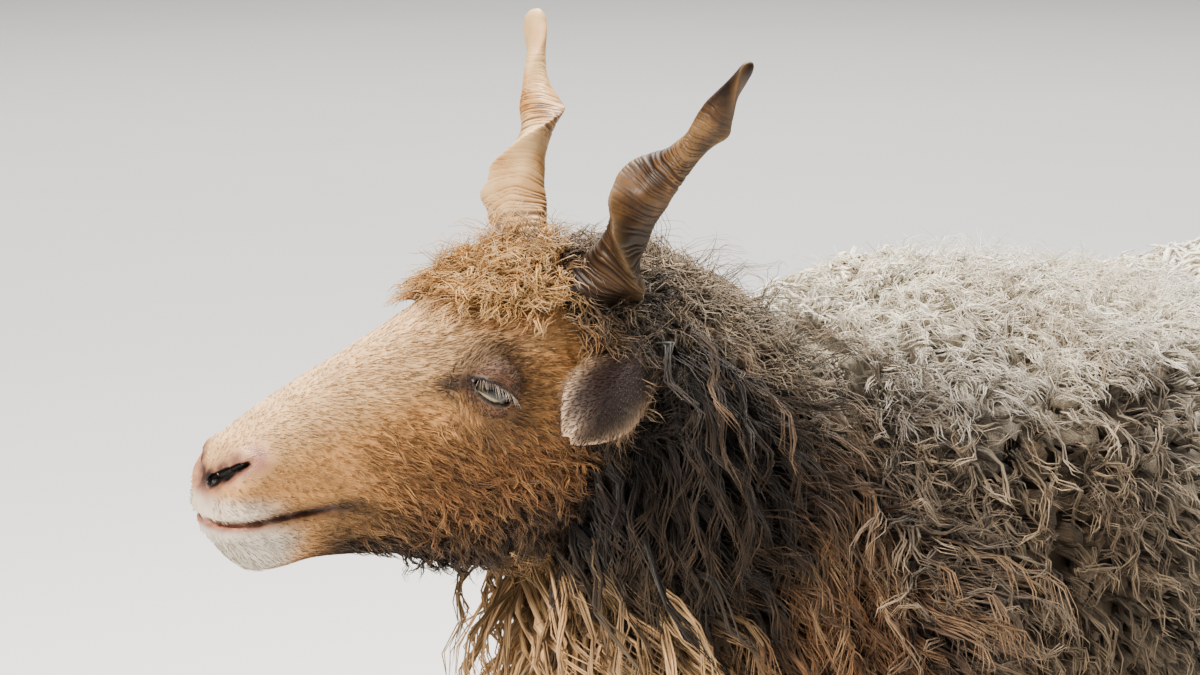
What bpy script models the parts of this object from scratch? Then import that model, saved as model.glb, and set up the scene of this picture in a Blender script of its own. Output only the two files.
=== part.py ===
# A racka sheep ewe, life size, standing with its head turned a little to its right.
# Metres, +Z up. The animal faces -Y, its left side is +X, and the origin lies on the
# floor at the middle of its bounding box. Flesh, horns, eyes, ears and hoof claws are
# separate closed solids. What is cut clear of a neighbour keeps GAP to it, and a piece
# keeps ROOT_GAP to the flesh that it grows from, which is itself cut clear of the piece.
import math
import random

import bmesh
import bpy
from mathutils import Matrix, Vector
from mathutils.bvhtree import BVHTree

GAP = 0.0004
ROOT_GAP = 0.0008
RNG = random.Random(7)

# Driving sizes of the body, in metres.
TORSO_START, TORSO_END = -0.300, 0.452
CORE_DEPTH = 0.022
HOOF_TOP = 0.036
FORE_FOOT_X, HIND_FOOT_X = 0.082, 0.086
CLAW_HALF_WIDTH, CLAW_GAP = 0.0102, 0.0016
STAGGER = {"fl": -0.020, "fr": 0.014, "hl": 0.016, "hr": -0.022}
NECK_ROOT = Vector((0.0, -0.205, 0.535))
ATLAS = Vector((-0.014, -0.400, 0.700))
TAIL_ROOT, TAIL_LENGTH, TAIL_OUT = Vector((0.0, 0.452, 0.600)), 0.320, 0.030
TAIL_HALF = (0.022, 0.008)

# Driving sizes of the head, in millimetres: left of its middle, back from the nose tip
# and up from it. Paired pieces are made on the left and mirrored.
ATLAS_BACK, ATLAS_UP = 232.0, 40.0
HEAD_YAW, HEAD_PITCH, HEAD_ROLL = math.radians(-18.0), math.radians(-1.8), math.radians(3.2)
HEAD_SECTIONS, HEAD_SIDES, HEAD_SQUARENESS = 24, 28, 2.2
EYE_CENTRE, EYE_RADIUS, LID_THICK = Vector((46.0, 141.0, 38.0)), 13.5, 2.2
EYE_GAZE, LID_TILT = Vector((0.92, -0.34, 0.05)), math.radians(9.0)
LID_HALF_LENGTH, LID_UPPER, LID_LOWER = 12.0, 5.5, 6.0
MOUTH_CORNER, MOUTH_FRONT_UP = (22.0, 61.0, -31.0), -33.0
MOUTH_DEPTH, MOUTH_GAP, LIP_ROLL = 4.0, 1.4, 1.6
NOSTRIL_PATH = (
    (6.5, 3.0, -18.0), (12.0, 4.0, -15.0), (17.0, 10.0, -10.5), (20.5, 18.0, -6.0), (22.0, 27.0, -3.0),
)
HORN_ROOT, HORN_LENGTH, HORN_SUNK = Vector((32.0, 200.0, 88.0)), 192.0, 36.0
HORN_LEAN = Vector((0.465, 0.350, 0.812)).normalized()
HORN_TURNS, HORN_START, HORN_WANDER, HORN_SECTIONS = 2.38, 3.95, 5.0, 20
HORN_BASE, HORN_TIP, HORN_KEEL = 18.0, 4.2, 0.34
EAR_ROOT, EAR_LENGTH, EAR_HALF_WIDTH = Vector((43.0, 238.0, 44.0)), 102.0, 22.0
EAR_LEAN, EAR_FACE = Vector((0.56, -0.80, -0.16)), Vector((-0.50, -0.40, -0.76))
EAR_CUP, EAR_THICK, EAR_DROOP, EAR_SECTIONS = 11.0, 3.2, 8.0, 10

# Forms on the head's plain sections: place, reach and height, in millimetres.
HEAD_FORMS = (
    ((50.0, 141.0, 38.0), 19.0, 8.5),
    ((44.0, 136.0, 56.0), 15.0, 5.0),
    ((47.0, 185.0, -12.0), 32.0, 5.0),
    ((46.0, 168.0, 16.0), 18.0, 3.0),
    ((36.0, 112.0, 26.0), 12.0, -3.5),
    ((21.0, 14.0, -6.0), 11.0, 3.5),
    ((18.0, 8.0, -27.0), 10.0, 2.0),
    ((0.0, 20.0, -60.0), 14.0, 2.0),
    ((27.0, 78.0, -30.0), 22.0, -3.0),
)
# Coat of each region: length, width and thickness of a lock, how strongly it rises at its
# root, how much its weight pulls it down, how far it waves, and whether its end is blunt.
BACK_CLUMP = (0.088, 0.074, 0.034, 0.9, 0.25, 0.004, True)
FLANK_LOCK = (0.118, 0.048, 0.022, 0.9, 1.0, 0.009, False)
NECK_LOCK = (0.125, 0.042, 0.020, 0.9, 1.1, 0.010, False)
TAIL_LOCK = (0.120, 0.026, 0.014, 0.6, 1.2, 0.006, False)
FORELOCK = (0.048, 0.026, 0.015, 1.3, 0.2, 0.005, True)
POLL_CLUMP = (0.052, 0.036, 0.020, 1.6, 0.1, 0.004, True)
CHEEK_LOCK = (0.042, 0.018, 0.009, 0.5, 0.9, 0.004, False)
TORSO_ROW, TORSO_PITCH = 0.088, 0.098
NECK_ROWS, NECK_AROUND = 4, 8
LOCK_STEPS, LOCK_LEAST_STEP, LOCK_SUNK, LOCK_WAVES, LOCK_THIN = 3, 0.4, 0.012, 5.5, 0.0009
# Places of the head's locks, in its millimetres, with the way they lie.
FORELOCK_PLACES = (
    (0, 138, 82, (0, -0.6, -0.5)), (18, 143, 82, (0.4, -0.6, -0.4)), (35, 154, 76, (0.6, -0.4, -0.5)),
    (13, 165, 92, (0.3, -0.9, 0)), (34, 174, 84, (0.8, -0.3, -0.4)), (0, 186, 98, (-0.3, -0.9, 0)),
)
POLL_PLACES = (
    (0, 206, 100, (0, -0.5, 0)), (15, 222, 94, (0.2, 0.4, 0)), (0, 240, 84, (0.3, 0.6, 0)),
    (30, 236, 78, (0.5, 0.5, -0.2)), (42, 216, 66, (0.7, 0.2, -0.5)),
)
CHEEK_PLACES = (
    (45, 168, -36, (0.2, 0.4, -0.9)), (46, 186, -22, (0.2, 0.5, -0.8)), (44, 196, -44, (0.1, 0.4, -0.9)),
    (38, 172, -58, (0, 0.3, -0.9)), (46, 206, -6, (0.2, 0.5, -0.8)),
)
# Claw of a hoof: height, how far forward its middle lies, half length, share of the width.
CLAW_SECTIONS = (
    (HOOF_TOP, 0.0000, 0.0225, 0.94),
    (0.0180, 0.0050, 0.0270, 1.00),
    (0.0000, 0.0095, 0.0300, 1.00),
)
# Torso of flesh: along y, then middle height, half width, rise and drop.
TORSO = (
    (-0.300, 0.505, 0.030, 0.035, 0.045),
    (-0.280, 0.503, 0.070, 0.105, 0.095),
    (-0.225, 0.508, 0.102, 0.162, 0.140),
    (-0.150, 0.513, 0.120, 0.180, 0.152),
    (-0.040, 0.513, 0.131, 0.168, 0.157),
    (0.080, 0.513, 0.139, 0.147, 0.159),
    (0.180, 0.517, 0.138, 0.136, 0.150),
    (0.270, 0.528, 0.128, 0.131, 0.130),
    (0.350, 0.545, 0.115, 0.117, 0.120),
    (0.410, 0.553, 0.090, 0.092, 0.112),
    (0.440, 0.556, 0.058, 0.060, 0.080),
    (0.452, 0.557, 0.024, 0.026, 0.036),
)
# Neck of flesh: share of the way to the atlas, half width, rise and drop across it.
NECK = (
    (-0.12, 0.082, 0.120, 0.128),
    (0.00, 0.082, 0.118, 0.126),
    (0.30, 0.072, 0.100, 0.108),
    (0.60, 0.062, 0.083, 0.088),
    (0.85, 0.056, 0.072, 0.074),
    (1.06, 0.052, 0.060, 0.058),
)
# Fore and hind leg: height, y, half width and half depth.
FORE_LEG = (
    (0.440, -0.180, 0.040, 0.064),
    (0.380, -0.170, 0.037, 0.054),
    (0.320, -0.172, 0.030, 0.041),
    (0.262, -0.184, 0.0235, 0.029),
    (0.232, -0.190, 0.0235, 0.0255),
    (0.208, -0.191, 0.0235, 0.0245),
    (0.186, -0.188, 0.0185, 0.0205),
    (0.150, -0.186, 0.0150, 0.0170),
    (0.112, -0.186, 0.0150, 0.0170),
    (0.088, -0.188, 0.0190, 0.0210),
    (0.070, -0.193, 0.0185, 0.0200),
    (0.052, -0.204, 0.0180, 0.0190),
    (HOOF_TOP + GAP, -0.214, 0.0215, 0.0250),
)
HIND_LEG = (
    (0.480, 0.325, 0.050, 0.088),
    (0.410, 0.312, 0.046, 0.076),
    (0.355, 0.322, 0.037, 0.058),
    (0.312, 0.347, 0.0275, 0.041),
    (0.280, 0.373, 0.0215, 0.031),
    (0.256, 0.388, 0.0195, 0.030),
    (0.236, 0.386, 0.0190, 0.0245),
    (0.208, 0.378, 0.0170, 0.0200),
    (0.165, 0.372, 0.0150, 0.0180),
    (0.118, 0.366, 0.0150, 0.0175),
    (0.092, 0.362, 0.0190, 0.0215),
    (0.072, 0.357, 0.0185, 0.0200),
    (0.053, 0.346, 0.0180, 0.0190),
    (HOOF_TOP + GAP, 0.336, 0.0215, 0.0250),
)
# Head: back from the nose tip, top, widest level, bottom and half width, in mm.
HEAD = (
    (-3, -12, -22, -31, 9),
    (0, -5, -20, -37, 17),
    (6, 5, -18, -46, 23.5),
    (15, 13, -18, -54, 26.5),
    (26, 21, -18, -60, 27.5),
    (40, 30, -18, -61, 27.5),
    (58, 40, -16, -56, 27.5),
    (78, 50, -12, -54, 29.5),
    (102, 62, -6, -58, 34),
    (124, 73, 2, -62, 41),
    (146, 84, 8, -66, 47),
    (170, 95, 8, -69, 50),
    (195, 101, 12, -67, 49),
    (216, 98, 20, -57, 45),
    (236, 86, 28, -38, 38),
    (250, 68, 30, -12, 25),
    (257, 48, 30, 12, 9),
)


def smooth(table, at):
    """A row of the table at this first column, on a curve through its rows."""
    last = len(table) - 1
    at = min(max(at, table[0][0]), table[last][0])
    k = max(i for i in range(last) if table[i][0] <= at)
    before, here, there, after = (table[min(max(i, 0), last)] for i in (k - 1, k, k + 1, k + 2))
    t = (at - here[0]) / (there[0] - here[0])
    row = []
    for c in range(1, len(here)):
        rise_here = (there[c] - before[c]) / (there[0] - before[0]) * (there[0] - here[0])
        rise_there = (after[c] - here[c]) / (after[0] - here[0]) * (there[0] - here[0])
        row.append(
            (2 * t**3 - 3 * t**2 + 1) * here[c]
            + (t**3 - 2 * t**2 + t) * rise_here
            + (3 * t**2 - 2 * t**3) * there[c]
            + (t**3 - t**2) * rise_there
        )
    return row


def between(a, b, t):
    return a + (b - a) * t


def clamp01(x):
    return min(max(x, 0.0), 1.0)


def material(name, colour, roughness):
    made = bpy.data.materials.new(name)
    made.use_nodes = True
    shader = made.node_tree.nodes["Principled BSDF"]
    shader.inputs["Base Color"].default_value = (*colour, 1.0)
    shader.inputs["Roughness"].default_value = roughness
    made.diffuse_color = (*colour, 1.0)
    return made


def add_object(name, bm, finish):
    mesh = bpy.data.meshes.new(name)
    bm.to_mesh(mesh)
    bm.free()
    mesh.shade_smooth()
    mesh.materials.append(finish)
    made = bpy.data.objects.new(name, mesh)
    bpy.context.scene.collection.objects.link(made)
    return made


def oval(centre, side, up, half_width, rise, drop, power, count):
    """One cross-section: a rounded oval whose upper and lower halves may differ."""
    points = []
    for k in range(count):
        angle = 2 * math.pi * k / count
        c, s = math.cos(angle), math.sin(angle)
        across = half_width * math.copysign(abs(c) ** (2 / power), c)
        along = (rise if s > 0 else drop) * math.copysign(abs(s) ** (2 / power), s)
        points.append(centre + side * across + up * along)
    return points


def skin_over(bm, rings, under=None):
    """Closes a row of cross-sections into one body, with a fan at each end.

    The points from number `under` on are the lower face of a thin piece: its triangles are
    split as those over them are, so that the two faces stay apart, and its ends are closed
    from the one face to the other.
    """
    loops = [[bm.verts.new(p) for p in ring] for ring in rings]
    count = len(loops[0])
    faces = []
    for a, b in zip(loops, loops[1:]):
        for k in range(count):
            n = (k + 1) % count
            if under is not None and k >= under:
                faces.append(bm.faces.new((a[k], a[n], b[k])))
                faces.append(bm.faces.new((a[n], b[n], b[k])))
            else:
                faces.append(bm.faces.new((a[k], a[n], b[n])))
                faces.append(bm.faces.new((a[k], b[n], b[k])))
    for loop in (loops[0], loops[-1]):
        if under is None:
            tip = bm.verts.new(sum((v.co for v in loop), Vector()) / count)
            for k in range(count):
                faces.append(bm.faces.new((loop[k], loop[(k + 1) % count], tip)))
            continue
        faces.append(bm.faces.new((loop[0], loop[1], loop[-1])))
        for k in range(1, under - 1):
            faces.append(bm.faces.new((loop[k], loop[k + 1], loop[-k - 1])))
            faces.append(bm.faces.new((loop[k], loop[-k - 1], loop[-k])))
        faces.append(bm.faces.new((loop[under - 1], loop[under], loop[under + 1])))
    bmesh.ops.recalc_face_normals(bm, faces=faces)


def apply_modifiers(obj):
    bpy.context.view_layer.update()
    graph = bpy.context.evaluated_depsgraph_get()
    made = bpy.data.meshes.new_from_object(obj.evaluated_get(graph), depsgraph=graph)
    obj.modifiers.clear()
    old, obj.data = obj.data, made
    bpy.data.meshes.remove(old)


def boolean(obj, operation, others):
    """Joins these bodies to obj, or cuts them from it, and then removes them."""
    group = bpy.data.collections.new(obj.name + "_" + operation.lower())
    bpy.context.scene.collection.children.link(group)
    for other in others:
        bpy.context.scene.collection.objects.unlink(other)
        group.objects.link(other)
    modifier = obj.modifiers.new(operation, "BOOLEAN")
    modifier.operation = operation
    modifier.operand_type = "COLLECTION"
    modifier.collection = group
    modifier.solver = "MANIFOLD"
    apply_modifiers(obj)
    for other in others:
        bpy.data.objects.remove(other)
    bpy.data.collections.remove(group)


def grown_copy(obj, gap=GAP):
    """A copy with its surface moved out by the gap, for cutting a neighbour clear of it."""
    copy = obj.copy()
    copy.data = obj.data.copy()
    copy.name = obj.name + "_grown"
    bpy.context.scene.collection.objects.link(copy)
    moves = [v.normal * gap for v in copy.data.vertices]
    for vertex, move in zip(copy.data.vertices, moves):
        vertex.co += move
    return copy


def add_coat(obj, locks):
    """Fuses the locks with their node, and keeps grown copies of them all in FORMS."""
    FORMS[obj.name] = [grown_copy(form) for form in (obj, *locks)]
    boolean(obj, "UNION", locks)


def cut_clear(obj, *neighbours, gap=GAP):
    """Cuts obj clear of its neighbours, of one with several forms by each of them as well."""
    cutters = []
    for other in neighbours:
        if other.name in FORMS:
            cutters += [grown_copy(form, 0.0) for form in (other, *FORMS[other.name])]
        else:
            cutters.append(grown_copy(other, gap))
    boolean(obj, "DIFFERENCE", cutters)


def keep_largest(obj):
    """Keeps the largest closed surface of the mesh."""
    bm = bmesh.new()
    bm.from_mesh(obj.data)
    left, islands = set(bm.faces), []
    while left:
        island, edge_of = set(), [left.pop()]
        while edge_of:
            face = edge_of.pop()
            island.add(face)
            for edge in face.edges:
                for other in edge.link_faces:
                    if other in left:
                        left.remove(other)
                        edge_of.append(other)
        islands.append(island)

    def volume(island):
        total = 0.0
        for face in island:
            first = face.verts[0].co
            for a, b in zip(face.verts[1:], face.verts[2:]):
                total += first.dot(a.co.cross(b.co)) / 6
        return total

    largest = max(islands, key=volume)
    drop = [face for face in bm.faces if face not in largest]
    bmesh.ops.delete(bm, geom=drop, context="FACES")
    loose = [v for v in bm.verts if not v.link_faces]
    bmesh.ops.delete(bm, geom=loose, context="VERTS")
    bm.to_mesh(obj.data)
    bm.free()


def loft(name, finish, rings, under=None):
    bm = bmesh.new()
    skin_over(bm, rings, under)
    return add_object(name, bm, finish)


HEAD_PLACE = (
    Matrix.Translation(ATLAS)
    @ Matrix.Rotation(HEAD_YAW, 4, "Z")
    @ Matrix.Rotation(HEAD_PITCH, 4, "X")
    @ Matrix.Rotation(HEAD_ROLL, 4, "Y")
    @ Matrix.Scale(0.001, 4)
    @ Matrix.Translation(Vector((0.0, -ATLAS_BACK, -ATLAS_UP)))
)


def from_head(point, side=1):
    """A point given in the head's millimetres, or its mirror image, in the body's metres."""
    return HEAD_PLACE @ Vector((side * point[0], point[1], point[2]))


def steps(first, last, count):
    return [between(first, last, k / (count - 1)) for k in range(count)]


def torso_rings(depth, count=20, sides=20):
    """The barrel with a coat of this depth over the flesh."""
    rings = []
    for y in steps(TORSO_START, TORSO_END, count):
        middle, half_width, rise, drop = smooth(TORSO, y)
        spread = depth * (1.0 - 0.25 * clamp01((y - 0.30) / 0.15))
        push = spread * (clamp01((y - 0.38) / 0.07) - clamp01((-0.24 - y) / 0.06))
        centre = Vector((0, y + push, middle))
        rings.append(
            oval(
                centre,
                Vector((1, 0, 0)),
                Vector((0, 0, 1)),
                half_width + spread,
                rise + spread,
                drop + spread * 0.75,
                2.15,
                sides,
            )
        )
    return rings


def neck_rings(depth, count=8, sides=16):
    """The neck from inside the shoulders to behind the skull."""
    axis = ATLAS - NECK_ROOT
    along = axis.normalized()
    side = along.cross(Vector((0, 0, 1))).normalized()
    up = side.cross(along)
    rings = []
    for t in steps(NECK[0][0], NECK[-1][0], count):
        half_width, rise, drop = smooth(NECK, t)
        centre = NECK_ROOT + axis * t
        spread = depth * (1 - 0.35 * clamp01(t))
        rings.append(
            oval(centre, side, up, half_width + spread, rise + spread, drop + spread, 2.1, sides)
        )
    return rings


def head_swell(x, back, up):
    """How far the head's skin stands out here from its plain sections, in mm."""
    total = 0.0
    for (bx, bback, bup), reach, height in HEAD_FORMS:
        away = (abs(x) - bx) ** 2 + (back - bback) ** 2 + (up - bup) ** 2
        total += height * math.exp(-away / reach**2)
    if back < MOUTH_CORNER[1] + 4:
        for off in (-6.0, 6.0):
            total += LIP_ROLL * math.exp(-(((up - mouth_level(back) - off) / 4.0) ** 2))
    return total


def mouth_level(back):
    t = clamp01(back / MOUTH_CORNER[1])
    return between(MOUTH_FRONT_UP, MOUTH_CORNER[2], t) - 2.5 * math.sin(math.pi * t)


def head_rings():
    """Sections of the head in its own millimetres, closer together at the muzzle."""
    first, last = HEAD[0][0], HEAD[-1][0]
    rings = []
    for k in range(HEAD_SECTIONS):
        t = k / (HEAD_SECTIONS - 1)
        back = between(first, last, 0.35 * t * t + 0.65 * t)
        top, widest, bottom, half_width = smooth(HEAD, back)
        centre = Vector((0, back, widest))
        ring = oval(
            centre,
            Vector((1, 0, 0)),
            Vector((0, 0, 1)),
            half_width,
            top - widest,
            widest - bottom,
            HEAD_SQUARENESS,
            HEAD_SIDES,
        )
        for point in ring:
            outward = point - centre
            outward.normalize()
            point += outward * head_swell(*point)
        rings.append(ring)
    return rings


def ball(name, finish, centre, radius, side, segments=12, rings=8):
    """A ball in the head's frame, given in millimetres."""
    bm = bmesh.new()
    bmesh.ops.create_uvsphere(bm, u_segments=segments, v_segments=rings, radius=radius)
    for vertex in bm.verts:
        vertex.co = from_head(Vector(centre) + vertex.co, side)
    bm.normal_update()
    bmesh.ops.recalc_face_normals(bm, faces=bm.faces)
    return add_object(name, bm, finish)


def lid_opening(side):
    """The almond between the lids, run out along the gaze, as a cutter."""
    gaze = EYE_GAZE.normalized()
    across = (Vector((0, 1, 0)) - gaze * gaze.y).normalized()
    across = Matrix.Rotation(-LID_TILT, 3, gaze) @ across
    up = gaze.cross(across)
    if up.z < 0:
        up.negate()
    rings = []
    for out in (5.0, 30.0):
        ring = []
        for k in range(14):
            angle = 2 * math.pi * k / 14
            c, s = math.cos(angle), math.sin(angle)
            high = (LID_UPPER if s > 0 else LID_LOWER) * abs(s) ** 1.25
            offset = across * c * LID_HALF_LENGTH + up * math.copysign(high, s)
            ring.append(from_head(EYE_CENTRE + gaze * out + offset, side))
        rings.append(ring)
    return loft("lid_opening", SKIN, rings)


def mouth_groove():
    """A thin wedge along the meeting of the lips, from one corner round to the other."""
    rings = []
    for k in range(15):
        sweep = between(-1.0, 1.0, k / 14)
        back = between(-7.0, MOUTH_CORNER[1], abs(sweep) ** 1.6)
        top, widest, bottom, half_width = smooth(HEAD, max(back, HEAD[0][0]))
        up = mouth_level(back)
        share = clamp01(1 - ((up - widest) / (bottom - widest)) ** 2) ** 0.5
        reach = half_width * share + 1.5
        x = math.copysign(min(reach, abs(sweep) * 60), sweep)
        heading = Vector((x, back - 45, 0)).normalized()
        outer = Vector((x, back, up)) + heading * 5
        inner = outer - heading * (5 + MOUTH_DEPTH)
        half = MOUTH_GAP / 2
        rings.append(
            [
                from_head(outer + Vector((0, 0, half * 2))),
                from_head(inner + Vector((0, 0, 0.3))),
                from_head(inner - Vector((0, 0, 0.3))),
                from_head(outer - Vector((0, 0, half * 2))),
            ]
        )
    return loft("mouth_groove", SKIN, rings)


def nostril(side):
    """A comma-shaped hollow that runs back and up into the side of the nose."""
    path = [Vector(point) for point in NOSTRIL_PATH]
    rings = []
    for k, centre in enumerate(path):
        t = k / (len(path) - 1)
        tangent = (path[min(k + 1, len(path) - 1)] - path[max(k - 1, 0)]).normalized()
        out = Vector((1, -0.35, 0)).normalized()
        lift = tangent.cross(out).normalized()
        out = lift.cross(tangent)
        half = between(3.4, 1.6, t) * math.sin(math.pi * between(0.25, 0.85, t))
        ring = oval(centre, out, lift, 7.0, half, half, 2.0, 8)
        rings.append([from_head(p, side) for p in ring])
    return loft("nostril", SKIN, rings)


def horn(name, side):
    """One horn: a lens-shaped section with a keel that winds round a leaning axis."""
    first = HORN_LEAN.cross(Vector((0, 1, 0))).normalized()
    second = HORN_LEAN.cross(first)
    rings = []
    for k in range(HORN_SECTIONS):
        t = k / (HORN_SECTIONS - 1)
        turn = -(HORN_START + 2 * math.pi * HORN_TURNS * t)
        wide = first * math.cos(turn) + second * math.sin(turn)
        flat = HORN_LEAN.cross(wide)
        wander = HORN_WANDER * math.sin(math.pi * min(t * 1.2, 1.0))
        centre = HORN_ROOT + HORN_LEAN * (HORN_LENGTH * t - HORN_SUNK) + wide * wander
        half_width = between(HORN_BASE, HORN_TIP, t**1.25)
        half_thick = half_width * between(0.86, 0.76, t)
        ring = oval(centre, wide, flat, half_width, half_thick, half_thick, 1.75, 10)
        for point in ring:
            edge = clamp01((point - centre).dot(wide) / half_width)
            point += wide * HORN_KEEL * half_width * edge**4
        rings.append([from_head(p, side) for p in ring])
    return loft(name, HORN, rings)


def ear(name, side):
    """A cupped leaf that points out, forward and a little down, its cup turned down."""
    along = EAR_LEAN.normalized()
    face = (EAR_FACE - along * EAR_FACE.dot(along)).normalized()
    across = along.cross(face)
    rings = []
    for k in range(EAR_SECTIONS):
        t = k / (EAR_SECTIONS - 1)
        half_width = EAR_HALF_WIDTH * (0.42 + 0.58 * math.sin(math.pi * min(0.10 + t * 0.65, 0.5)))
        half_width *= max(1 - max(t - 0.6, 0) ** 2 * 4.6, 0.16)
        cup = EAR_CUP * (1 - 0.75 * t)
        centre = EAR_ROOT + along * EAR_LENGTH * t - Vector((0, 0, EAR_DROOP * t * t))
        thick = between(EAR_THICK * 1.8, EAR_THICK, min(t * 3, 1.0))
        ring = []
        for i in range(7):
            u = -1 + 2 * i / 6
            ring.append(centre + across * u * half_width - face * cup * (1 - u * u))
        for i in range(5, 0, -1):
            u = -1 + 2 * i / 6
            bulge = cup * (1 - u * u) + thick * (1 - 0.35 * abs(u))
            ring.append(centre + across * u * half_width * 0.97 - face * bulge)
        rings.append([from_head(p, side) for p in ring])
    return loft(name, EAR, rings, under=6)


def leg(name, side, table, foot_x, stagger):
    rings = []
    for z, y, half_width, half_depth in table:
        lean = stagger * (1 - z / table[0][0])
        centre = Vector((side * foot_x, y + lean, z))
        rings.append(
            oval(centre, Vector((1, 0, 0)), Vector((0, 1, 0)), half_width, half_depth, half_depth, 2.1, 10)
        )
    return loft(name, SKIN, rings)


def claw(name, side, foot_x, foot_y, inner):
    """One of the two claws of a foot, with a flat sole and a blunt toe to the front."""
    centre_x = side * foot_x + inner * (CLAW_HALF_WIDTH + CLAW_GAP / 2)
    rings = []
    for z, forward, half_depth, shrink in CLAW_SECTIONS:
        centre = Vector((centre_x, foot_y - forward, z))
        rings.append(
            oval(
                centre,
                Vector((1, 0, 0)),
                Vector((0, 1, 0)),
                CLAW_HALF_WIDTH * shrink,
                half_depth,
                half_depth,
                2.6,
                10,
            )
        )
    return loft(name, HOOF, rings)


def tail_rings(depth, count=8, sides=8):
    rings = []
    for t in steps(0, 1, count):
        centre = TAIL_ROOT + Vector((0, TAIL_OUT * math.sin(t * 1.9), 0.0)) * 1.0
        centre.z -= TAIL_LENGTH * (t - 0.06 * math.sin(math.pi * t))
        half = between(TAIL_HALF[0], TAIL_HALF[1], t) + depth * math.sin(math.pi * (0.2 + 0.72 * t))
        sizes = (half * 1.15, half * 0.8, half * 0.8)
        rings.append(oval(centre, Vector((1, 0, 0)), Vector((0, 1, 0)), *sizes, 2.0, sides))
    return rings


def surface_of(*objects):
    """The skins of these objects in one tree, for finding the nearest point and its normal."""
    bm = bmesh.new()
    for obj in objects:
        bm.from_mesh(obj.data)
    tree = BVHTree.FromBMesh(bm)
    bm.free()
    return tree


def is_inside(tree, point):
    """Whether a ray from the point leaves the closed surface an odd number of times."""
    hits = 0
    heading = Vector((0.31, 0.42, 0.85)).normalized()
    hit = tree.ray_cast(point, heading)
    while hit[0] is not None:
        hits += 1
        hit = tree.ray_cast(hit[0] + heading * 1e-5, heading)
    return hits % 2 == 1


def hanging_path(surface, root, normal, lie, length, lift, weight, clear):
    """Points of a lock that leaves the skin, bends along its lie and hangs by its weight."""
    step = length / LOCK_STEPS
    point = root + normal * clear * 0.4
    points = [root - normal * LOCK_SUNK, point]
    for k in range(LOCK_STEPS):
        t = (k + 0.5) / LOCK_STEPS
        way = normal * lift * (1 - t) ** 2 + lie * 0.7 + Vector((0, 0, -1)) * weight * t
        point = point + way.normalized() * step
        nearest, outward, _, _ = surface.find_nearest(point)
        margin = clear * (1 - 0.45 * t)
        height = (point - nearest).dot(outward)
        highest = margin * 2.2 if outward.z > -0.3 else 1.0
        if height < margin or height > highest:
            point = nearest + outward * min(max(height, margin), highest)
        if (point - points[-1]).length > step * LOCK_LEAST_STEP:
            points.append(point.copy())
    return points


def lock(surface, root, normal, lie, shape, finish, size=1.0):
    """One flat tapered lock, or one rounded clump, with its root sunk in the skin."""
    length, width, thick, lift, weight, wave, blunt = shape
    length, width = length * size * RNG.uniform(0.85, 1.15), width * size * RNG.uniform(0.9, 1.1)
    lie = (lie - normal * lie.dot(normal)).normalized()
    points = hanging_path(surface, root, normal, lie, length, lift, weight, thick * 0.55)
    phase = RNG.uniform(0, 2 * math.pi)
    last = len(points) - 1
    side = lie.cross(normal)
    rings, centre, before = [], None, None
    for k in range(last):
        t = k / last
        tangent = (points[k + 1] - points[max(k - 1, 0)]).normalized()
        side = (side - tangent * side.dot(tangent)).normalized()
        swell = 0.8 + 0.35 * math.sin(math.pi * min(t * 1.3, 1.0)) if blunt else 1.0
        taper = (1 - t ** (3.0 if blunt else 1.5)) ** 0.6 * swell
        half_width = max(width / 2 * taper, LOCK_THIN)
        half_thick = max(thick / 2 * taper, LOCK_THIN)
        middle = points[k] + side * wave * math.sin(phase + LOCK_WAVES * t) * t
        ring = oval(middle, side, side.cross(tangent), half_width, half_thick, half_thick, 2.0, 4)
        if rings and min((point - centre).dot(before) for point in ring) < LOCK_THIN:
            continue
        if rings and max((point - middle).dot(tangent) for point in rings[-1]) > -LOCK_THIN:
            continue
        rings.append(ring)
        centre, before = middle, tangent
    sharp = points[-1] + side * wave * math.sin(phase + LOCK_WAVES)
    if (sharp - centre).dot(before) < length / LOCK_STEPS / 2:
        sharp = centre + before * length / LOCK_STEPS / 2
    rings.append([between(sharp, point, 0.2) for point in rings[-1]])
    return loft("lock", finish, rings, under=2)


def torso_coat(surface, keep_off):
    """Rounded clumps over the back that turn into hanging locks down each flank."""
    locks = []
    row = 0
    y = TORSO_START + 0.02
    while y < TORSO_END + 0.03:
        middle, half_width, rise, drop = smooth(TORSO, y)
        count = int(2 * math.pi * (half_width + rise + 2 * CORE_DEPTH) / 2 / TORSO_PITCH)
        for k in range(count):
            angle = 2 * math.pi * (k + 0.5 * (row % 2) + RNG.uniform(-0.15, 0.15)) / count
            across, up = math.cos(angle), math.sin(angle)
            aim = Vector((across, RNG.uniform(-0.012, 0.012), up))
            start = Vector((across * half_width, y + aim.y, middle + up * (rise if up > 0 else drop)))
            root, normal, _, _ = surface.find_nearest(start + Vector((across, 0, up)) * 0.05)
            if up < -0.86 or any(is_inside(tree, root + normal * 0.02) for tree in keep_off):
                continue
            down = Vector((across * 0.8, 0.55, -0.9 + 0.5 * up))
            shape = BACK_CLUMP if up > 0.30 else FLANK_LOCK
            locks.append(lock(surface, root, normal, down, shape, FLEECE))
        y += TORSO_ROW
        row += 1
    return locks


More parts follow.
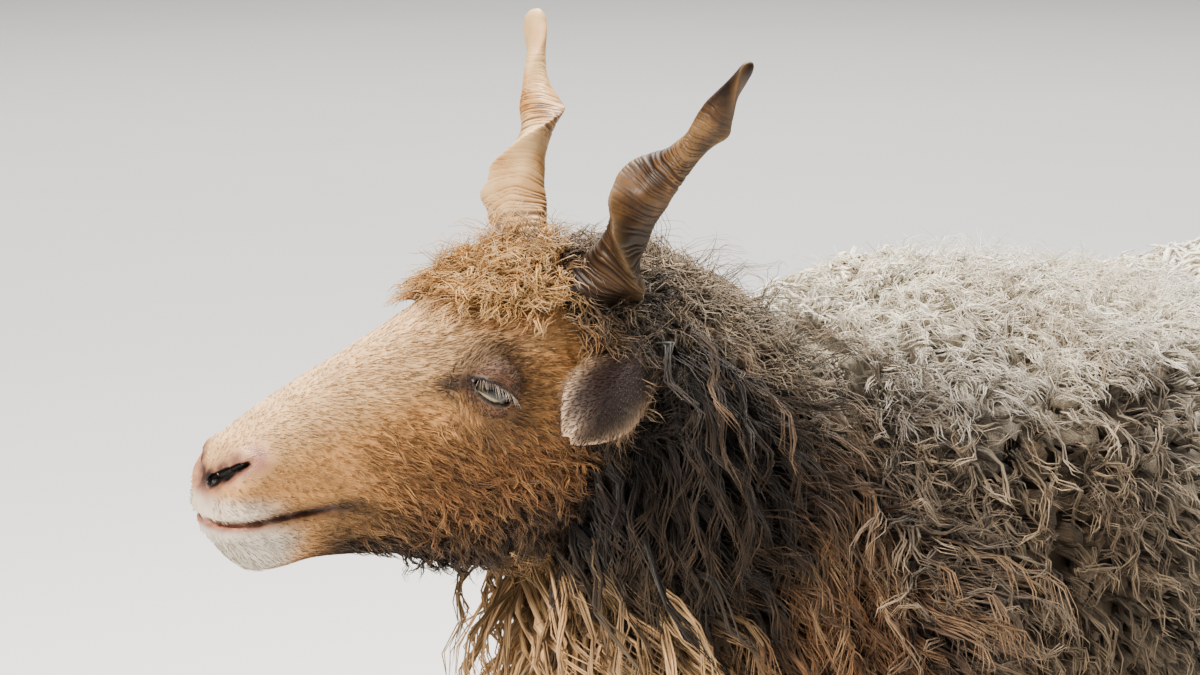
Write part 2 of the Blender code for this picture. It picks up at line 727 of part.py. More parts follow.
def neck_coat(surface, keep_off):
    """Long wavy locks that hang from the neck in overlapping rows."""
    axis = ATLAS - NECK_ROOT
    side = axis.normalized().cross(Vector((0, 0, 1))).normalized()
    up = side.cross(axis.normalized())
    locks = []
    for row in range(NECK_ROWS):
        t = between(0.02, 0.98, row / (NECK_ROWS - 1))
        centre = NECK_ROOT + axis * t
        for k in range(NECK_AROUND):
            angle = 2 * math.pi * (k + 0.5 * (row % 2) + RNG.uniform(-0.15, 0.15)) / NECK_AROUND
            aim = side * math.cos(angle) + up * math.sin(angle)
            root, normal, _, _ = surface.find_nearest(centre + aim * 0.16)
            if any(is_inside(tree, root + normal * 0.015) for tree in keep_off):
                continue
            lie = aim * 0.4 - axis.normalized() * 0.75 + Vector((0, 0, -0.5))
            locks.append(lock(surface, root, normal, lie, NECK_LOCK, NECK_WOOL))
    return locks


def head_coat(surface):
    """The forelock between the horns, the poll's curls and the longer hair of the cheeks."""
    locks = []
    regions = ((FORELOCK_PLACES, FORELOCK), (POLL_PLACES, POLL_CLUMP), (CHEEK_PLACES, CHEEK_LOCK))
    for region, shape in regions:
        for x, back, up, lie in region:
            for side in (1, -1) if x else (1,):
                place = from_head((x + RNG.uniform(-1, 1), back + RNG.uniform(-2, 2), up), side)
                root, normal, _, _ = surface.find_nearest(place)
                ahead = Vector((x, back, up)) + Vector(lie) * 10
                way = from_head(ahead, side) - from_head((x, back, up), side)
                locks.append(lock(surface, root, normal, way.normalized(), shape, SKIN))
    return locks


def tail_coat(surface):
    locks = []
    for row in range(4):
        for k in range(3):
            angle = math.pi * (0.5 + 2 * (k + 0.5 * (row % 2)) / 3)
            aim = Vector((math.cos(angle), math.sin(angle) * 0.8, 0))
            start = TAIL_ROOT + Vector((0, 0.03, -TAIL_LENGTH * (0.12 + 0.22 * row)))
            root, normal, _, _ = surface.find_nearest(start + aim * 0.06)
            locks.append(lock(surface, root, normal, Vector((0, 0.1, -1)), TAIL_LOCK, FLEECE))
    return locks


for old in list(bpy.data.objects):
    bpy.data.objects.remove(old)
SKIN = material("skin", (0.42, 0.26, 0.15), 0.8)
FLEECE = material("fleece", (0.62, 0.55, 0.45), 0.95)
NECK_WOOL = material("neck_wool", (0.24, 0.13, 0.07), 0.95)
HORN = material("horn", (0.55, 0.40, 0.24), 0.5)
EAR = material("ear", (0.30, 0.20, 0.16), 0.8)
EYE = material("eye", (0.30, 0.22, 0.12), 0.1)
HOOF = material("hoof", (0.12, 0.10, 0.08), 0.5)

FORMS = {}
stand = bpy.data.objects.new("stand", None)
bpy.context.scene.collection.objects.link(stand)

# The flesh, plain as yet: the torso with half of its coat's depth, and what grows from it.
torso = loft("torso", FLEECE, torso_rings(CORE_DEPTH))
neck = loft("neck", NECK_WOOL, neck_rings(CORE_DEPTH))
tail = loft("tail", FLEECE, tail_rings(0.010))
head = loft("head", SKIN, [[from_head(p) for p in ring] for ring in head_rings()])
boolean(head, "UNION", [ball("lid", SKIN, EYE_CENTRE, EYE_RADIUS + LID_THICK, s) for s in (1, -1)])
boolean(head, "DIFFERENCE", [mouth_groove(), nostril(1), nostril(-1)])
head_surface, neck_surface, torso_surface = surface_of(head), surface_of(neck), surface_of(torso)
whole = grown_copy(torso, 0.0)
boolean(whole, "UNION", [grown_copy(neck, 0.0), grown_copy(head, 0.0)])
body_surface = surface_of(whole)
bpy.data.objects.remove(whole)
cut_clear(neck, torso, gap=ROOT_GAP)
cut_clear(tail, torso, gap=ROOT_GAP)

fittings, fitting_forms, legs = [], {}, []
for side, letter in ((1, "l"), (-1, "r")):
    eye = ball("eye_" + letter, EYE, EYE_CENTRE, EYE_RADIUS, side)
    cut_clear(head, eye)
    boolean(head, "DIFFERENCE", [lid_opening(side)])
    horn_piece, ear_piece = horn("horn_" + letter, side), ear("ear_" + letter, side)
    for piece in (horn_piece, ear_piece):
        fitting_forms[piece.name] = [grown_copy(piece)]
    cut_clear(horn_piece, head, gap=ROOT_GAP)
    cut_clear(ear_piece, head, horn_piece, gap=ROOT_GAP)
    fittings += [horn_piece, ear_piece]
    for end, table, foot_x in (("f", FORE_LEG, FORE_FOOT_X), ("h", HIND_LEG, HIND_FOOT_X)):
        foot = end + letter
        legs.append(leg("leg_" + foot, side, table, foot_x, STAGGER[foot]))
        cut_clear(legs[-1], torso, gap=ROOT_GAP)
        foot_y = table[-1][1] + STAGGER[foot]
        claw("hoof_" + foot + "_inner", side, foot_x, foot_y, -side)
        claw("hoof_" + foot + "_outer", side, foot_x, foot_y, side)

# The coat: each node's locks are fused with it, and then it is cut clear of its neighbours.
add_coat(head, head_coat(head_surface))
cut_clear(head, *fittings)
FORMS.update(fitting_forms)
add_coat(neck, neck_coat(body_surface, [head_surface, torso_surface]))
cut_clear(neck, head, *fittings)
add_coat(tail, tail_coat(surface_of(tail)))
leg_surfaces = [surface_of(piece) for piece in legs]
add_coat(torso, torso_coat(torso_surface, [neck_surface, *leg_surfaces]))
cut_clear(torso, neck, head, tail, *legs)

for form in [form for forms in FORMS.values() for form in forms]:
    bpy.data.objects.remove(form)
pieces = [obj for obj in bpy.data.objects if obj.type == "MESH"]
for piece in pieces:
    keep_largest(piece)
corners = [vertex.co for piece in pieces for vertex in piece.data.vertices]
low = [min(corner[axis] for corner in corners) for axis in range(3)]
high = [max(corner[axis] for corner in corners) for axis in range(3)]
stand.location = (-(low[0] + high[0]) / 2, -(low[1] + high[1]) / 2, -low[2])
for piece in pieces:
    piece.parent = stand
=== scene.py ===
import math

import bmesh
import bpy
import numpy as np
from mathutils import Matrix, Vector
from mathutils.bvhtree import BVHTree


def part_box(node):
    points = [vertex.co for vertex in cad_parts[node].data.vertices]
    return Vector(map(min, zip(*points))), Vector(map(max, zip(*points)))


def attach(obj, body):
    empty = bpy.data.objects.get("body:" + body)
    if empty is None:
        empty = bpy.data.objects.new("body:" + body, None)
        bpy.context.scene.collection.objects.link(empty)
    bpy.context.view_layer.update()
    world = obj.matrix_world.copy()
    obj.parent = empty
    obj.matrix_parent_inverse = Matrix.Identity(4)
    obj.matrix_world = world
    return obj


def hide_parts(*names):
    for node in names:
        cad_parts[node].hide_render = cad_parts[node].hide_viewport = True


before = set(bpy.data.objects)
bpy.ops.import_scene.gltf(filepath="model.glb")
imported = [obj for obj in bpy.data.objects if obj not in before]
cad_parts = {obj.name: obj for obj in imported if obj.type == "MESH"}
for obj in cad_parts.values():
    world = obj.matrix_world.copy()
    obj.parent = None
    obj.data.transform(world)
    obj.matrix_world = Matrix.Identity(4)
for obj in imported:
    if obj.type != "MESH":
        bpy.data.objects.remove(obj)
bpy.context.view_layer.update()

# The head is placed first, since the view is aimed at it: its sizes are in millimetres, left
# of its middle, back from the nose tip and up from it, and it hangs from the atlas joint.
ATLAS = Vector((-0.014, -0.400, 0.700))
ATLAS_IN_HEAD = Vector((0.0, 232.0, 40.0))
HEAD_YAW, HEAD_PITCH, HEAD_ROLL = math.radians(-18.0), math.radians(-1.8), math.radians(3.2)
EYE_CENTRE, EYE_RADIUS = Vector((46.0, 141.0, 38.0)), 13.5
HEAD_PLACE = (
    Matrix.Translation(ATLAS)
    @ Matrix.Rotation(HEAD_YAW, 4, "Z")
    @ Matrix.Rotation(HEAD_PITCH, 4, "X")
    @ Matrix.Rotation(HEAD_ROLL, 4, "Y")
    @ Matrix.Scale(0.001, 4)
    @ Matrix.Translation(-ATLAS_IN_HEAD)
)
eye_low, eye_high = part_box("eye_l")
SHIFT = (eye_low + eye_high) / 2 - HEAD_PLACE @ EYE_CENTRE
HEAD_PLACE = Matrix.Translation(SHIFT) @ HEAD_PLACE
HEAD_ARRAY = np.array(HEAD_PLACE)
HEAD_BACK = np.linalg.inv(HEAD_ARRAY)
# What repeats on both sides is made on the left, at +X, and flipped for the right.
SIDES = ((1, "l"), (-1, "r"))
MIRROR = np.array((-1.0, 1.0, 1.0))
FLIP = {1: np.ones(3), -1: MIRROR}


def placed(points):
    """Points of the head in millimetres, taken to their place in metres."""
    return np.asarray(points, float) @ HEAD_ARRAY[:3, :3].T + HEAD_ARRAY[:3, 3]


def turned(directions):
    """Directions in the head's frame, as unit directions of the whole animal."""
    moved = np.asarray(directions, float) @ HEAD_ARRAY[:3, :3].T
    return moved / np.linalg.norm(moved, axis=-1, keepdims=True)


def in_head(points):
    """Places in metres, given in the head's millimetres."""
    return np.asarray(points, float) @ HEAD_BACK[:3, :3].T + HEAD_BACK[:3, 3]


# The stage: the camera at the photograph's angle, a pale floor, and soft lights. The key is
# high on the left of the view, so the face is lit and throws its shade on the neck, and a
# wide lamp hangs over the floor behind.
VIEW_AZIMUTH, VIEW_ELEVATION, VIEW_DISTANCE = math.radians(39.72), math.radians(9.22), 2.482
VIEW_TARGET = Vector((-0.0245, -0.3788, 0.7067)) + SHIFT
AWAY = Vector(
    (
        math.sin(VIEW_AZIMUTH) * math.cos(VIEW_ELEVATION),
        -math.cos(VIEW_AZIMUTH) * math.cos(VIEW_ELEVATION),
        math.sin(VIEW_ELEVATION),
    )
)
SHOULDERS = Vector((0, -0.2, 0.55))
camera = bpy.data.objects.new("view", bpy.data.cameras.new("view"))
bpy.context.scene.collection.objects.link(camera)
camera.data.lens, camera.data.sensor_width = 135.0, 36.0
camera.location = VIEW_TARGET + AWAY * VIEW_DISTANCE
camera.rotation_euler = (-AWAY).to_track_quat("-Z", "Y").to_euler()
bpy.context.scene.camera = camera


def soft_light(name, toward, distance, width, power, colour):
    """A square lamp of this power in watts, which looks at the shoulders from this direction."""
    lamp = bpy.data.lights.new(name, "AREA")
    lamp.size, lamp.energy, lamp.color = width, power, colour
    made = bpy.data.objects.new(name, lamp)
    bpy.context.scene.collection.objects.link(made)
    toward = Vector(toward).normalized()
    made.location = SHOULDERS + toward * distance
    made.rotation_euler = toward.to_track_quat("Z", "Y").to_euler()
    return made


soft_light("key", (0.05, -0.95, 0.82), 2.7, 0.5, 170.0, (1.0, 0.91, 0.79))
soft_light("fill", (0.75, -0.75, 0.45), 3.2, 2.4, 11.0, (0.92, 0.95, 1.0))
soft_light("rim", (-0.22, 0.60, 1.45), 3.0, 1.0, 440.0, (1.0, 0.95, 0.87))
backdrop = soft_light("backdrop", (-0.60, 0.72, 0.50), 7.0, 7.0, 600.0, (1.0, 0.99, 0.97))
backdrop.rotation_euler = (0, 0, 0)
world = bpy.data.worlds.new("studio")
world.use_nodes = True
world.node_tree.nodes["Background"].inputs["Color"].default_value = (0.86, 0.87, 0.88, 1.0)
world.node_tree.nodes["Background"].inputs["Strength"].default_value = 0.20
bpy.context.scene.world = world


class Wire:
    """A socket in a material. Operators on it add Math nodes, and node() adds any other."""

    def __init__(self, tree, socket=None):
        self.tree, self.socket = tree, socket

    def node(self, kind, inputs=None, output=0, **settings):
        """A node with these settings and inputs, by name or number: values or other wires."""
        made = self.tree.nodes.new(kind)
        stops = settings.pop("stops", None)
        for name, value in settings.items():
            setattr(made, name, value)
        if stops:
            ramp = made.color_ramp.elements
            while len(ramp) < len(stops):
                ramp.new(1.0)
            for stop, (place, colour) in zip(ramp, stops):
                stop.position, stop.color = place, (*colour, 1.0)
        for name, value in (inputs or {}).items():
            if isinstance(value, Wire):
                self.tree.links.new(value.socket, made.inputs[name])
            elif hasattr(value, "__len__") and len(value) == 3 and made.inputs[name].type == "RGBA":
                made.inputs[name].default_value = (*value, 1.0)
            else:
                made.inputs[name].default_value = value
        return Wire(self.tree, made.outputs[output])

    def math(self, operation, first, second):
        return self.node("ShaderNodeMath", {0: first, 1: second}, operation=operation)

    def __add__(self, other):
        return self.math("ADD", self, other)

    __radd__ = __add__

    def __mul__(self, other):
        return self.math("MULTIPLY", self, other)

    __rmul__ = __mul__

    def __sub__(self, other):
        return self.math("SUBTRACT", self, other)

    def __rsub__(self, other):
        return self.math("SUBTRACT", other, self)

    def __truediv__(self, other):
        return self.math("DIVIDE", self, other)

    def __pow__(self, other):
        return self.math("POWER", self, other)

    def mixed(self, first, second, blend="MIX"):
        """Two colours mixed with this wire as the share of the second."""
        sockets = {"Factor": self, 6: first, 7: second}
        kind = "ShaderNodeMix"
        return self.node(kind, sockets, output=2, data_type="RGBA", blend_type=blend)


def new_finish(name, roughness, **constants):
    """A material's shader and a wire that its nodes start from. Constants are sockets by name."""
    made = bpy.data.materials.new(name)
    made.use_nodes = True
    shader = made.node_tree.nodes["Principled BSDF"]
    shader.inputs["Roughness"].default_value = roughness
    for socket, value in constants.items():
        shader.inputs[socket.replace("_", " ")].default_value = value
    return made, shader, Wire(made.node_tree)


def feed(shader, socket, wire):
    """Lets this wire drive a socket of the shader."""
    wire.tree.links.new(wire.socket, shader.inputs[socket])


def bumped(shader, height, distance, strength=1.0):
    """Lets this height roughen the surface, in metres."""
    inputs = {"Height": height, "Distance": distance, "Strength": strength}
    feed(shader, "Normal", height.node("ShaderNodeBump", inputs))


def tint(red, green, blue):
    """A colour as seen on a screen, from 0 to 255, in the shader's linear light."""
    return tuple((value / 255) ** 2.2 for value in (red, green, blue))


floor_finish, floor_shader, start = new_finish("pale_floor", 0.75)
place = start.node("ShaderNodeTexCoord", output="Object")
cloud = start.node("ShaderNodeTexNoise", {"Vector": place, "Scale": 1.5, "Detail": 3.0})
feed(floor_shader, "Base Color", cloud.mixed(tint(214, 213, 210), tint(224, 223, 220)))
bpy.ops.object.select_all(action="DESELECT")
bpy.ops.mesh.primitive_plane_add(size=60.0, location=(0, 0, 0))
stage_floor = bpy.context.object
stage_floor.name = "floor"
stage_floor.data.materials.append(floor_finish)


# The skin is one closed piece over the whole body, from the muzzle to the tail and down to
# the coronets: plain flesh under the coat, and bare at the nose, the lips and the lids.
TORSO_START, TORSO_END = -0.300, 0.452
NECK_ROOT = Vector((0.0, -0.205, 0.535))
TAIL_ROOT, TAIL_LENGTH, TAIL_OUT, TAIL_HALF = Vector((0.0, 0.452, 0.600)), 0.320, 0.030, (0.022, 0.008)
FORE_FOOT_X, HIND_FOOT_X, HOOF_TOP = 0.082, 0.086, 0.036
STAGGER = {"fl": -0.020, "fr": 0.014, "hl": 0.016, "hr": -0.022}
# Torso: along y, then the height of its middle, its half width, its rise above that and its drop.
TORSO = (
    (-0.300, 0.505, 0.030, 0.035, 0.045),
    (-0.280, 0.503, 0.070, 0.105, 0.095),
    (-0.225, 0.508, 0.102, 0.162, 0.140),
    (-0.150, 0.513, 0.120, 0.180, 0.152),
    (-0.040, 0.513, 0.131, 0.168, 0.157),
    (0.080, 0.513, 0.139, 0.147, 0.159),
    (0.180, 0.517, 0.138, 0.136, 0.150),
    (0.270, 0.528, 0.128, 0.131, 0.130),
    (0.350, 0.545, 0.115, 0.117, 0.120),
    (0.410, 0.553, 0.090, 0.092, 0.112),
    (0.440, 0.556, 0.058, 0.060, 0.080),
    (0.452, 0.557, 0.024, 0.026, 0.036),
)
# Neck: share of the way to the atlas, half width, rise and drop across it.
NECK = (
    (-0.12, 0.082, 0.120, 0.134),
    (0.00, 0.082, 0.118, 0.142),
    (0.30, 0.072, 0.100, 0.142),
    (0.60, 0.063, 0.083, 0.128),
    (0.85, 0.057, 0.072, 0.104),
    (1.06, 0.052, 0.060, 0.064),
)
# Fore and hind leg: height, y, half width and half depth.
FORE_LEG = (
    (0.440, -0.180, 0.040, 0.064),
    (0.380, -0.170, 0.037, 0.054),
    (0.320, -0.172, 0.030, 0.041),
    (0.262, -0.184, 0.0235, 0.029),
    (0.232, -0.190, 0.0235, 0.0255),
    (0.208, -0.191, 0.0235, 0.0245),
    (0.186, -0.188, 0.0185, 0.0205),
    (0.150, -0.186, 0.0150, 0.0170),
    (0.112, -0.186, 0.0150, 0.0170),
    (0.088, -0.188, 0.0190, 0.0210),
    (0.070, -0.193, 0.0185, 0.0200),
    (0.052, -0.204, 0.0180, 0.0190),
    (HOOF_TOP - 0.004, -0.214, 0.0215, 0.0250),
)
HIND_LEG = (
    (0.480, 0.325, 0.050, 0.088),
    (0.410, 0.312, 0.046, 0.076),
    (0.355, 0.322, 0.037, 0.058),
    (0.312, 0.347, 0.0275, 0.041),
    (0.280, 0.373, 0.0215, 0.031),
    (0.256, 0.388, 0.0195, 0.030),
    (0.236, 0.386, 0.0190, 0.0245),
    (0.208, 0.378, 0.0170, 0.0200),
    (0.165, 0.372, 0.0150, 0.0180),
    (0.118, 0.366, 0.0150, 0.0175),
    (0.092, 0.362, 0.0190, 0.0215),
    (0.072, 0.357, 0.0185, 0.0200),
    (0.053, 0.346, 0.0180, 0.0190),
    (HOOF_TOP - 0.004, 0.336, 0.0215, 0.0250),
)
# Head: back from the nose tip, top, widest level, bottom and half width.
HEAD = (
    (-3, -12, -22, -31, 9),
    (0, -5, -20, -37, 17),
    (6, 5, -18, -46, 23.5),
    (15, 13, -18, -54, 26.5),
    (26, 21, -18, -60, 27.5),
    (40, 30, -18, -61, 27.5),
    (58, 40, -16, -58, 27.5),
    (78, 50, -12, -57.5, 29.5),
    (102, 62, -6, -58, 34),
    (124, 73, 2, -62, 41),
    (146, 84, 8, -66, 47),
    (170, 95, 8, -69, 50),
    (195, 101, 12, -67, 49),
    (216, 98, 20, -57, 45),
    (236, 86, 28, -38, 38),
    (250, 68, 30, -12, 25),
    (257, 48, 30, 12, 9),
)
# Forms on the head's plain sections: place, reach and height.
HEAD_FORMS = (
    ((50.0, 141.0, 38.0), 19.0, 8.5),
    ((48.0, 138.0, 54.0), 14.0, 6.0),
    ((47.0, 185.0, -12.0), 32.0, 5.0),
    ((46.0, 168.0, 16.0), 18.0, 3.0),
    ((36.0, 112.0, 26.0), 12.0, -3.5),
    ((21.0, 14.0, -6.0), 11.0, 3.5),
    ((18.0, 8.0, -27.0), 10.0, 2.0),
    ((0.0, 20.0, -60.0), 14.0, 2.0),
    ((27.0, 78.0, -30.0), 22.0, -3.0),
    ((27.0, 22.0, 2.0), 6.0, 1.4),
    ((18.0, 8.0, 3.5), 5.5, 2.2),
    ((10.0, 0.0, -5.0), 4.5, 1.4),
    ((21.0, 4.0, -14.0), 5.5, 2.0),
    ((28.0, 66.0, -30.0), 7.0, 1.6),
    ((38.0, 112.0, -2.0), 14.0, 2.0),
    ((44.0, 124.0, 33.0), 4.0, -2.2),
)
MOUTH_CORNER, MOUTH_FRONT_UP, LIP_ROLL = (27.0, 61.0, -26.0), -33.5, 1.8
# The powers of the rounded ovals: 2 is an ellipse, and more is squarer.
TORSO_SQUARENESS, NECK_SQUARENESS, LEG_SQUARENESS, HEAD_SQUARENESS = 2.15, 2.1, 2.1, 2.2


def smooth(table, at):
    """A row of the table at this first column, on a curve through its rows."""
    last = len(table) - 1
    at = min(max(at, table[0][0]), table[last][0])
    k = max(i for i in range(last) if table[i][0] <= at)
    before, here, there, after = (
        np.array(table[min(max(i, 0), last)], float) for i in (k - 1, k, k + 1, k + 2)
    )
    span = there[0] - here[0]
    t = (at - here[0]) / span
    rise_here = (there - before) / (there[0] - before[0]) * span
    rise_there = (after - here) / (after[0] - here[0]) * span
    row = (
        (2 * t**3 - 3 * t**2 + 1) * here
        + (t**3 - 2 * t**2 + t) * rise_here
        + (3 * t**2 - 2 * t**3) * there
        + (t**3 - t**2) * rise_there
    )
    return row[1:]


def oval(centre, side, up, half_width, rise, drop, power, count):
    """One cross-section: a rounded oval whose upper and lower halves may differ."""
    angle = 2 * math.pi * np.arange(count) / count
    c, s = np.cos(angle), np.sin(angle)
    across = half_width * np.sign(c) * np.abs(c) ** (2 / power)
    along = np.where(s > 0, rise, drop) * np.sign(s) * np.abs(s) ** (2 / power)
    return np.array(centre) + np.outer(across, side) + np.outer(along, up)


def torso_rings(count, sides):
    """Cross-sections of the torso from chest to rump."""
    rings = []
    for y in np.linspace(TORSO_START, TORSO_END, count):
        middle, *sizes = smooth(TORSO, y)
        rings.append(oval((0, y, middle), (1, 0, 0), (0, 0, 1), *sizes, TORSO_SQUARENESS, sides))
    return np.array(rings) + np.array(SHIFT)


NECK_AXIS = ATLAS - NECK_ROOT
NECK_ALONG = NECK_AXIS.normalized()
NECK_SIDE = NECK_ALONG.cross(Vector((0, 0, 1))).normalized()
NECK_UP = NECK_SIDE.cross(NECK_ALONG)


def neck_rings(count, sides):
    """Cross-sections of the neck, square to its axis, from its root to the head."""
    rings = []
    for t in np.linspace(NECK[0][0], NECK[-1][0], count):
        centre = NECK_ROOT + NECK_AXIS * t
        rings.append(oval(centre, NECK_SIDE, NECK_UP, *smooth(NECK, t), NECK_SQUARENESS, sides))
    return np.array(rings) + np.array(SHIFT)


def leg_rings(table, side, foot_x, stagger, count, sides):
    """Level cross-sections of a leg, from the top down to its coronet."""
    rings = []
    upside = [(-z, y, width, depth) for z, y, width, depth in table]
    for level in np.linspace(upside[0][0], upside[-1][0], count):
        y, half_width, half_depth = smooth(upside, level)
        lean = stagger * (1 + level / table[0][0])
        centre = (side * foot_x, y + lean, -level)
        sizes = (half_width, half_depth, half_depth)
        rings.append(oval(centre, (1, 0, 0), (0, 1, 0), *sizes, LEG_SQUARENESS, sides))
    return np.array(rings) + np.array(SHIFT)


def tail_rings(count, sides):
    """Cross-sections of the tail, which hangs out and down from the rump."""
    rings = []
    for t in np.linspace(0, 1, count):
        centre = TAIL_ROOT + Vector((0, TAIL_OUT * math.sin(t * 1.9), 0))
        centre.z -= TAIL_LENGTH * (t - 0.06 * math.sin(math.pi * t))
        half = TAIL_HALF[0] + (TAIL_HALF[1] - TAIL_HALF[0]) * t
        sizes = (half * 1.15, half * 0.8, half * 0.8)
        rings.append(oval(centre, (1, 0, 0), (0, 1, 0), *sizes, 2.0, sides))
    return np.array(rings) + np.array(SHIFT)


def mouth_level(back):
    """The height at which the lips meet, this far back from the nose tip."""
    t = np.clip(back / MOUTH_CORNER[1], 0, 1)
    return MOUTH_FRONT_UP + (MOUTH_CORNER[2] - MOUTH_FRONT_UP) * t + 0.9 * np.sin(math.pi * t)


def head_rings(count, sides):
    """Sections of the head in its own millimetres, closer together at the muzzle."""
    first, last = HEAD[0][0], HEAD[-1][0]
    rings = []
    for t in np.linspace(0, 1, count):
        back = first + (last - first) * (0.35 * t * t + 0.65 * t)
        top, widest, bottom, half_width = smooth(HEAD, back)
        centre = np.array((0, back, widest))
        sizes = (half_width, top - widest, widest - bottom)
        ring = oval(centre, (1, 0, 0), (0, 0, 1), *sizes, HEAD_SQUARENESS, sides)
        swell = np.zeros(sides)
        for (bx, bback, bup), reach, height in HEAD_FORMS:
            away = (np.abs(ring[:, 0]) - bx) ** 2 + (back - bback) ** 2 + (ring[:, 2] - bup) ** 2
            swell += height * np.exp(-away / reach**2)
        if back < MOUTH_CORNER[1] + 4:
            for off in (-6.0, 6.0):
                swell += LIP_ROLL * np.exp(-(((ring[:, 2] - mouth_level(back) - off) / 4.0) ** 2))
        outward = ring - centre
        outward /= np.linalg.norm(outward, axis=1, keepdims=True)
        rings.append(ring + outward * swell[:, None])
    return np.array(rings)


def select_only(*objects):
    bpy.ops.object.select_all(action="DESELECT")
    for obj in objects:
        obj.select_set(True)
    bpy.context.view_layer.objects.active = objects[0]


def closed_body(name, rings):
    """One closed body over a row of rings of points, with a fan at each end."""
    rows, count = rings.shape[:2]
    points = np.concatenate([rings.reshape(-1, 3), rings[[0, -1]].mean(axis=1)])
    ahead = [(k + 1) % count for k in range(count)]
    faces = [
        (r * count + k, r * count + ahead[k], (r + 1) * count + ahead[k], (r + 1) * count + k)
        for r in range(rows - 1)
        for k in range(count)
    ]
    for end, row in ((0, 0), (1, rows - 1)):
        tip = rows * count + end
        faces += [(row * count + k, row * count + ahead[k], tip) for k in range(count)]
    mesh = bpy.data.meshes.new(name)
    mesh.from_pydata(points.tolist(), [], faces)
    made = bpy.data.objects.new(name, mesh)
    bpy.context.scene.collection.objects.link(made)
    select_only(made)
    bpy.ops.object.mode_set(mode="EDIT")
    bpy.ops.mesh.select_all(action="SELECT")
    bpy.ops.mesh.normals_make_consistent(inside=False)
    bpy.ops.object.mode_set(mode="OBJECT")
    mesh.shade_smooth()
    return made


def shaped(obj, kind, **settings):
    """Adds a modifier with these settings and applies it."""
    select_only(obj)
    modifier = obj.modifiers.new(kind.lower(), kind)
    for name, value in settings.items():
        setattr(modifier, name, value)
    bpy.ops.object.modifier_apply(modifier=modifier.name)


def joined(obj, operation, others):
    """Joins these closed bodies to obj, or cuts them from it, and removes them."""
    group = bpy.data.collections.new("tools")
    bpy.context.scene.collection.children.link(group)
    for other in others:
        bpy.context.scene.collection.objects.unlink(other)
        group.objects.link(other)
    settings = {"operation": operation, "operand_type": "COLLECTION", "collection": group}
    shaped(obj, "BOOLEAN", solver="MANIFOLD", **settings)
    for other in others:
        bpy.data.objects.remove(other)
    bpy.data.collections.remove(group)


# The grain to which the body and the face are remeshed, in metres. The face is the front part
# of the head's rows, and the skull behind it is a little smaller and laps into it.
BODY_GRAIN, HEAD_GRAIN = 0.0065, 0.00135
FACE_END, HEAD_ROWS, SKULL_SHARE, SKULL_LAP = 0.80, 100, 0.985, 8
face_count = int(HEAD_ROWS * FACE_END)
body = closed_body("skin", torso_rings(60, 64))
parts = [
    closed_body("neck_flesh", neck_rings(30, 48)),
    closed_body("tail_flesh", tail_rings(24, 20)),
]
LEGS = []
for side, letter in SIDES:
    for end, table, foot_x in (("f", FORE_LEG, FORE_FOOT_X), ("h", HIND_LEG, HIND_FOOT_X)):
        rings = leg_rings(table, side, foot_x, STAGGER[end + letter], 60, 28)
        LEGS.append((end + letter, rings))
        parts.append(closed_body("leg_flesh", rings))
all_head = head_rings(HEAD_ROWS, 96)
skull = all_head[face_count - SKULL_LAP :] * (SKULL_SHARE, 1, SKULL_SHARE)
parts.append(closed_body("skull", placed(skull)))
joined(body, "UNION", parts)
shaped(body, "REMESH", mode="VOXEL", voxel_size=BODY_GRAIN)
shaped(body, "SMOOTH", factor=0.5, iterations=3)

# The face is cut finer than the rest: lids over the eyeballs, the line of the mouth and the
# comma of each nostril, all softened together before it is joined to the body.
LID_THICK, EYE_GAZE, LID_TILT = 2.2, Vector((0.93, -0.32, 0.0)).normalized(), math.radians(25.0)
LID_HALF_LENGTH, LID_UPPER, LID_LOWER = 12.0, 3.0, 5.0
MOUTH_DEPTH, MOUTH_GAP = 7.0, 3.2
NOSTRIL_PATH = np.array(
    ((3.5, -2.6, -13.6), (10.5, -1.4, -11.0), (17.8, 2.2, -6.5), (22.4, 7.8, -1.6), (24.7, 15.1, 1.6))
)
head = closed_body("face", placed(head_rings(HEAD_ROWS * 2, 160)[: face_count * 2]))


def ball(name, centre, radius, side):
    """A ball in the head, its centre and radius in millimetres."""
    bpy.ops.object.select_all(action="DESELECT")
    centre = placed(np.array(centre) * FLIP[side])
    bpy.ops.mesh.primitive_uv_sphere_add(segments=48, ring_count=32, radius=radius / 1000, location=centre)
    bpy.ops.object.transform_apply(location=True, rotation=False, scale=False)
    made = bpy.context.object
    made.name = name
    return made


def lid_frame():
    """Forward along the slit of the eye, up across it, and out along the gaze."""
    across = (Vector((0, 1, 0)) - EYE_GAZE * EYE_GAZE.y).normalized()
    across = Matrix.Rotation(-LID_TILT, 3, EYE_GAZE) @ across
    up = EYE_GAZE.cross(across)
    if up.z < 0:
        up.negate()
    return np.array(across), np.array(up), np.array(EYE_GAZE)


LID_ACROSS, LID_UP, LID_OUT = lid_frame()


def lid_opening(side):
    """What is cut from the lids: an almond with a low upper edge and a fuller lower one."""
    angle = 2 * math.pi * np.arange(40) / 40
    c, s = np.cos(angle), np.sin(angle)
    high = np.where(s > 0, LID_UPPER, LID_LOWER) * np.abs(s) ** 1.25 * np.sign(s)
    rings = [
        np.array(EYE_CENTRE)
        + LID_OUT * out
        + np.outer(c * LID_HALF_LENGTH, LID_ACROSS)
        + np.outer(high, LID_UP)
        for out in (5.0, 30.0)
    ]
    rings = np.array(rings) * FLIP[side]
    return closed_body("lid_opening", placed(rings))


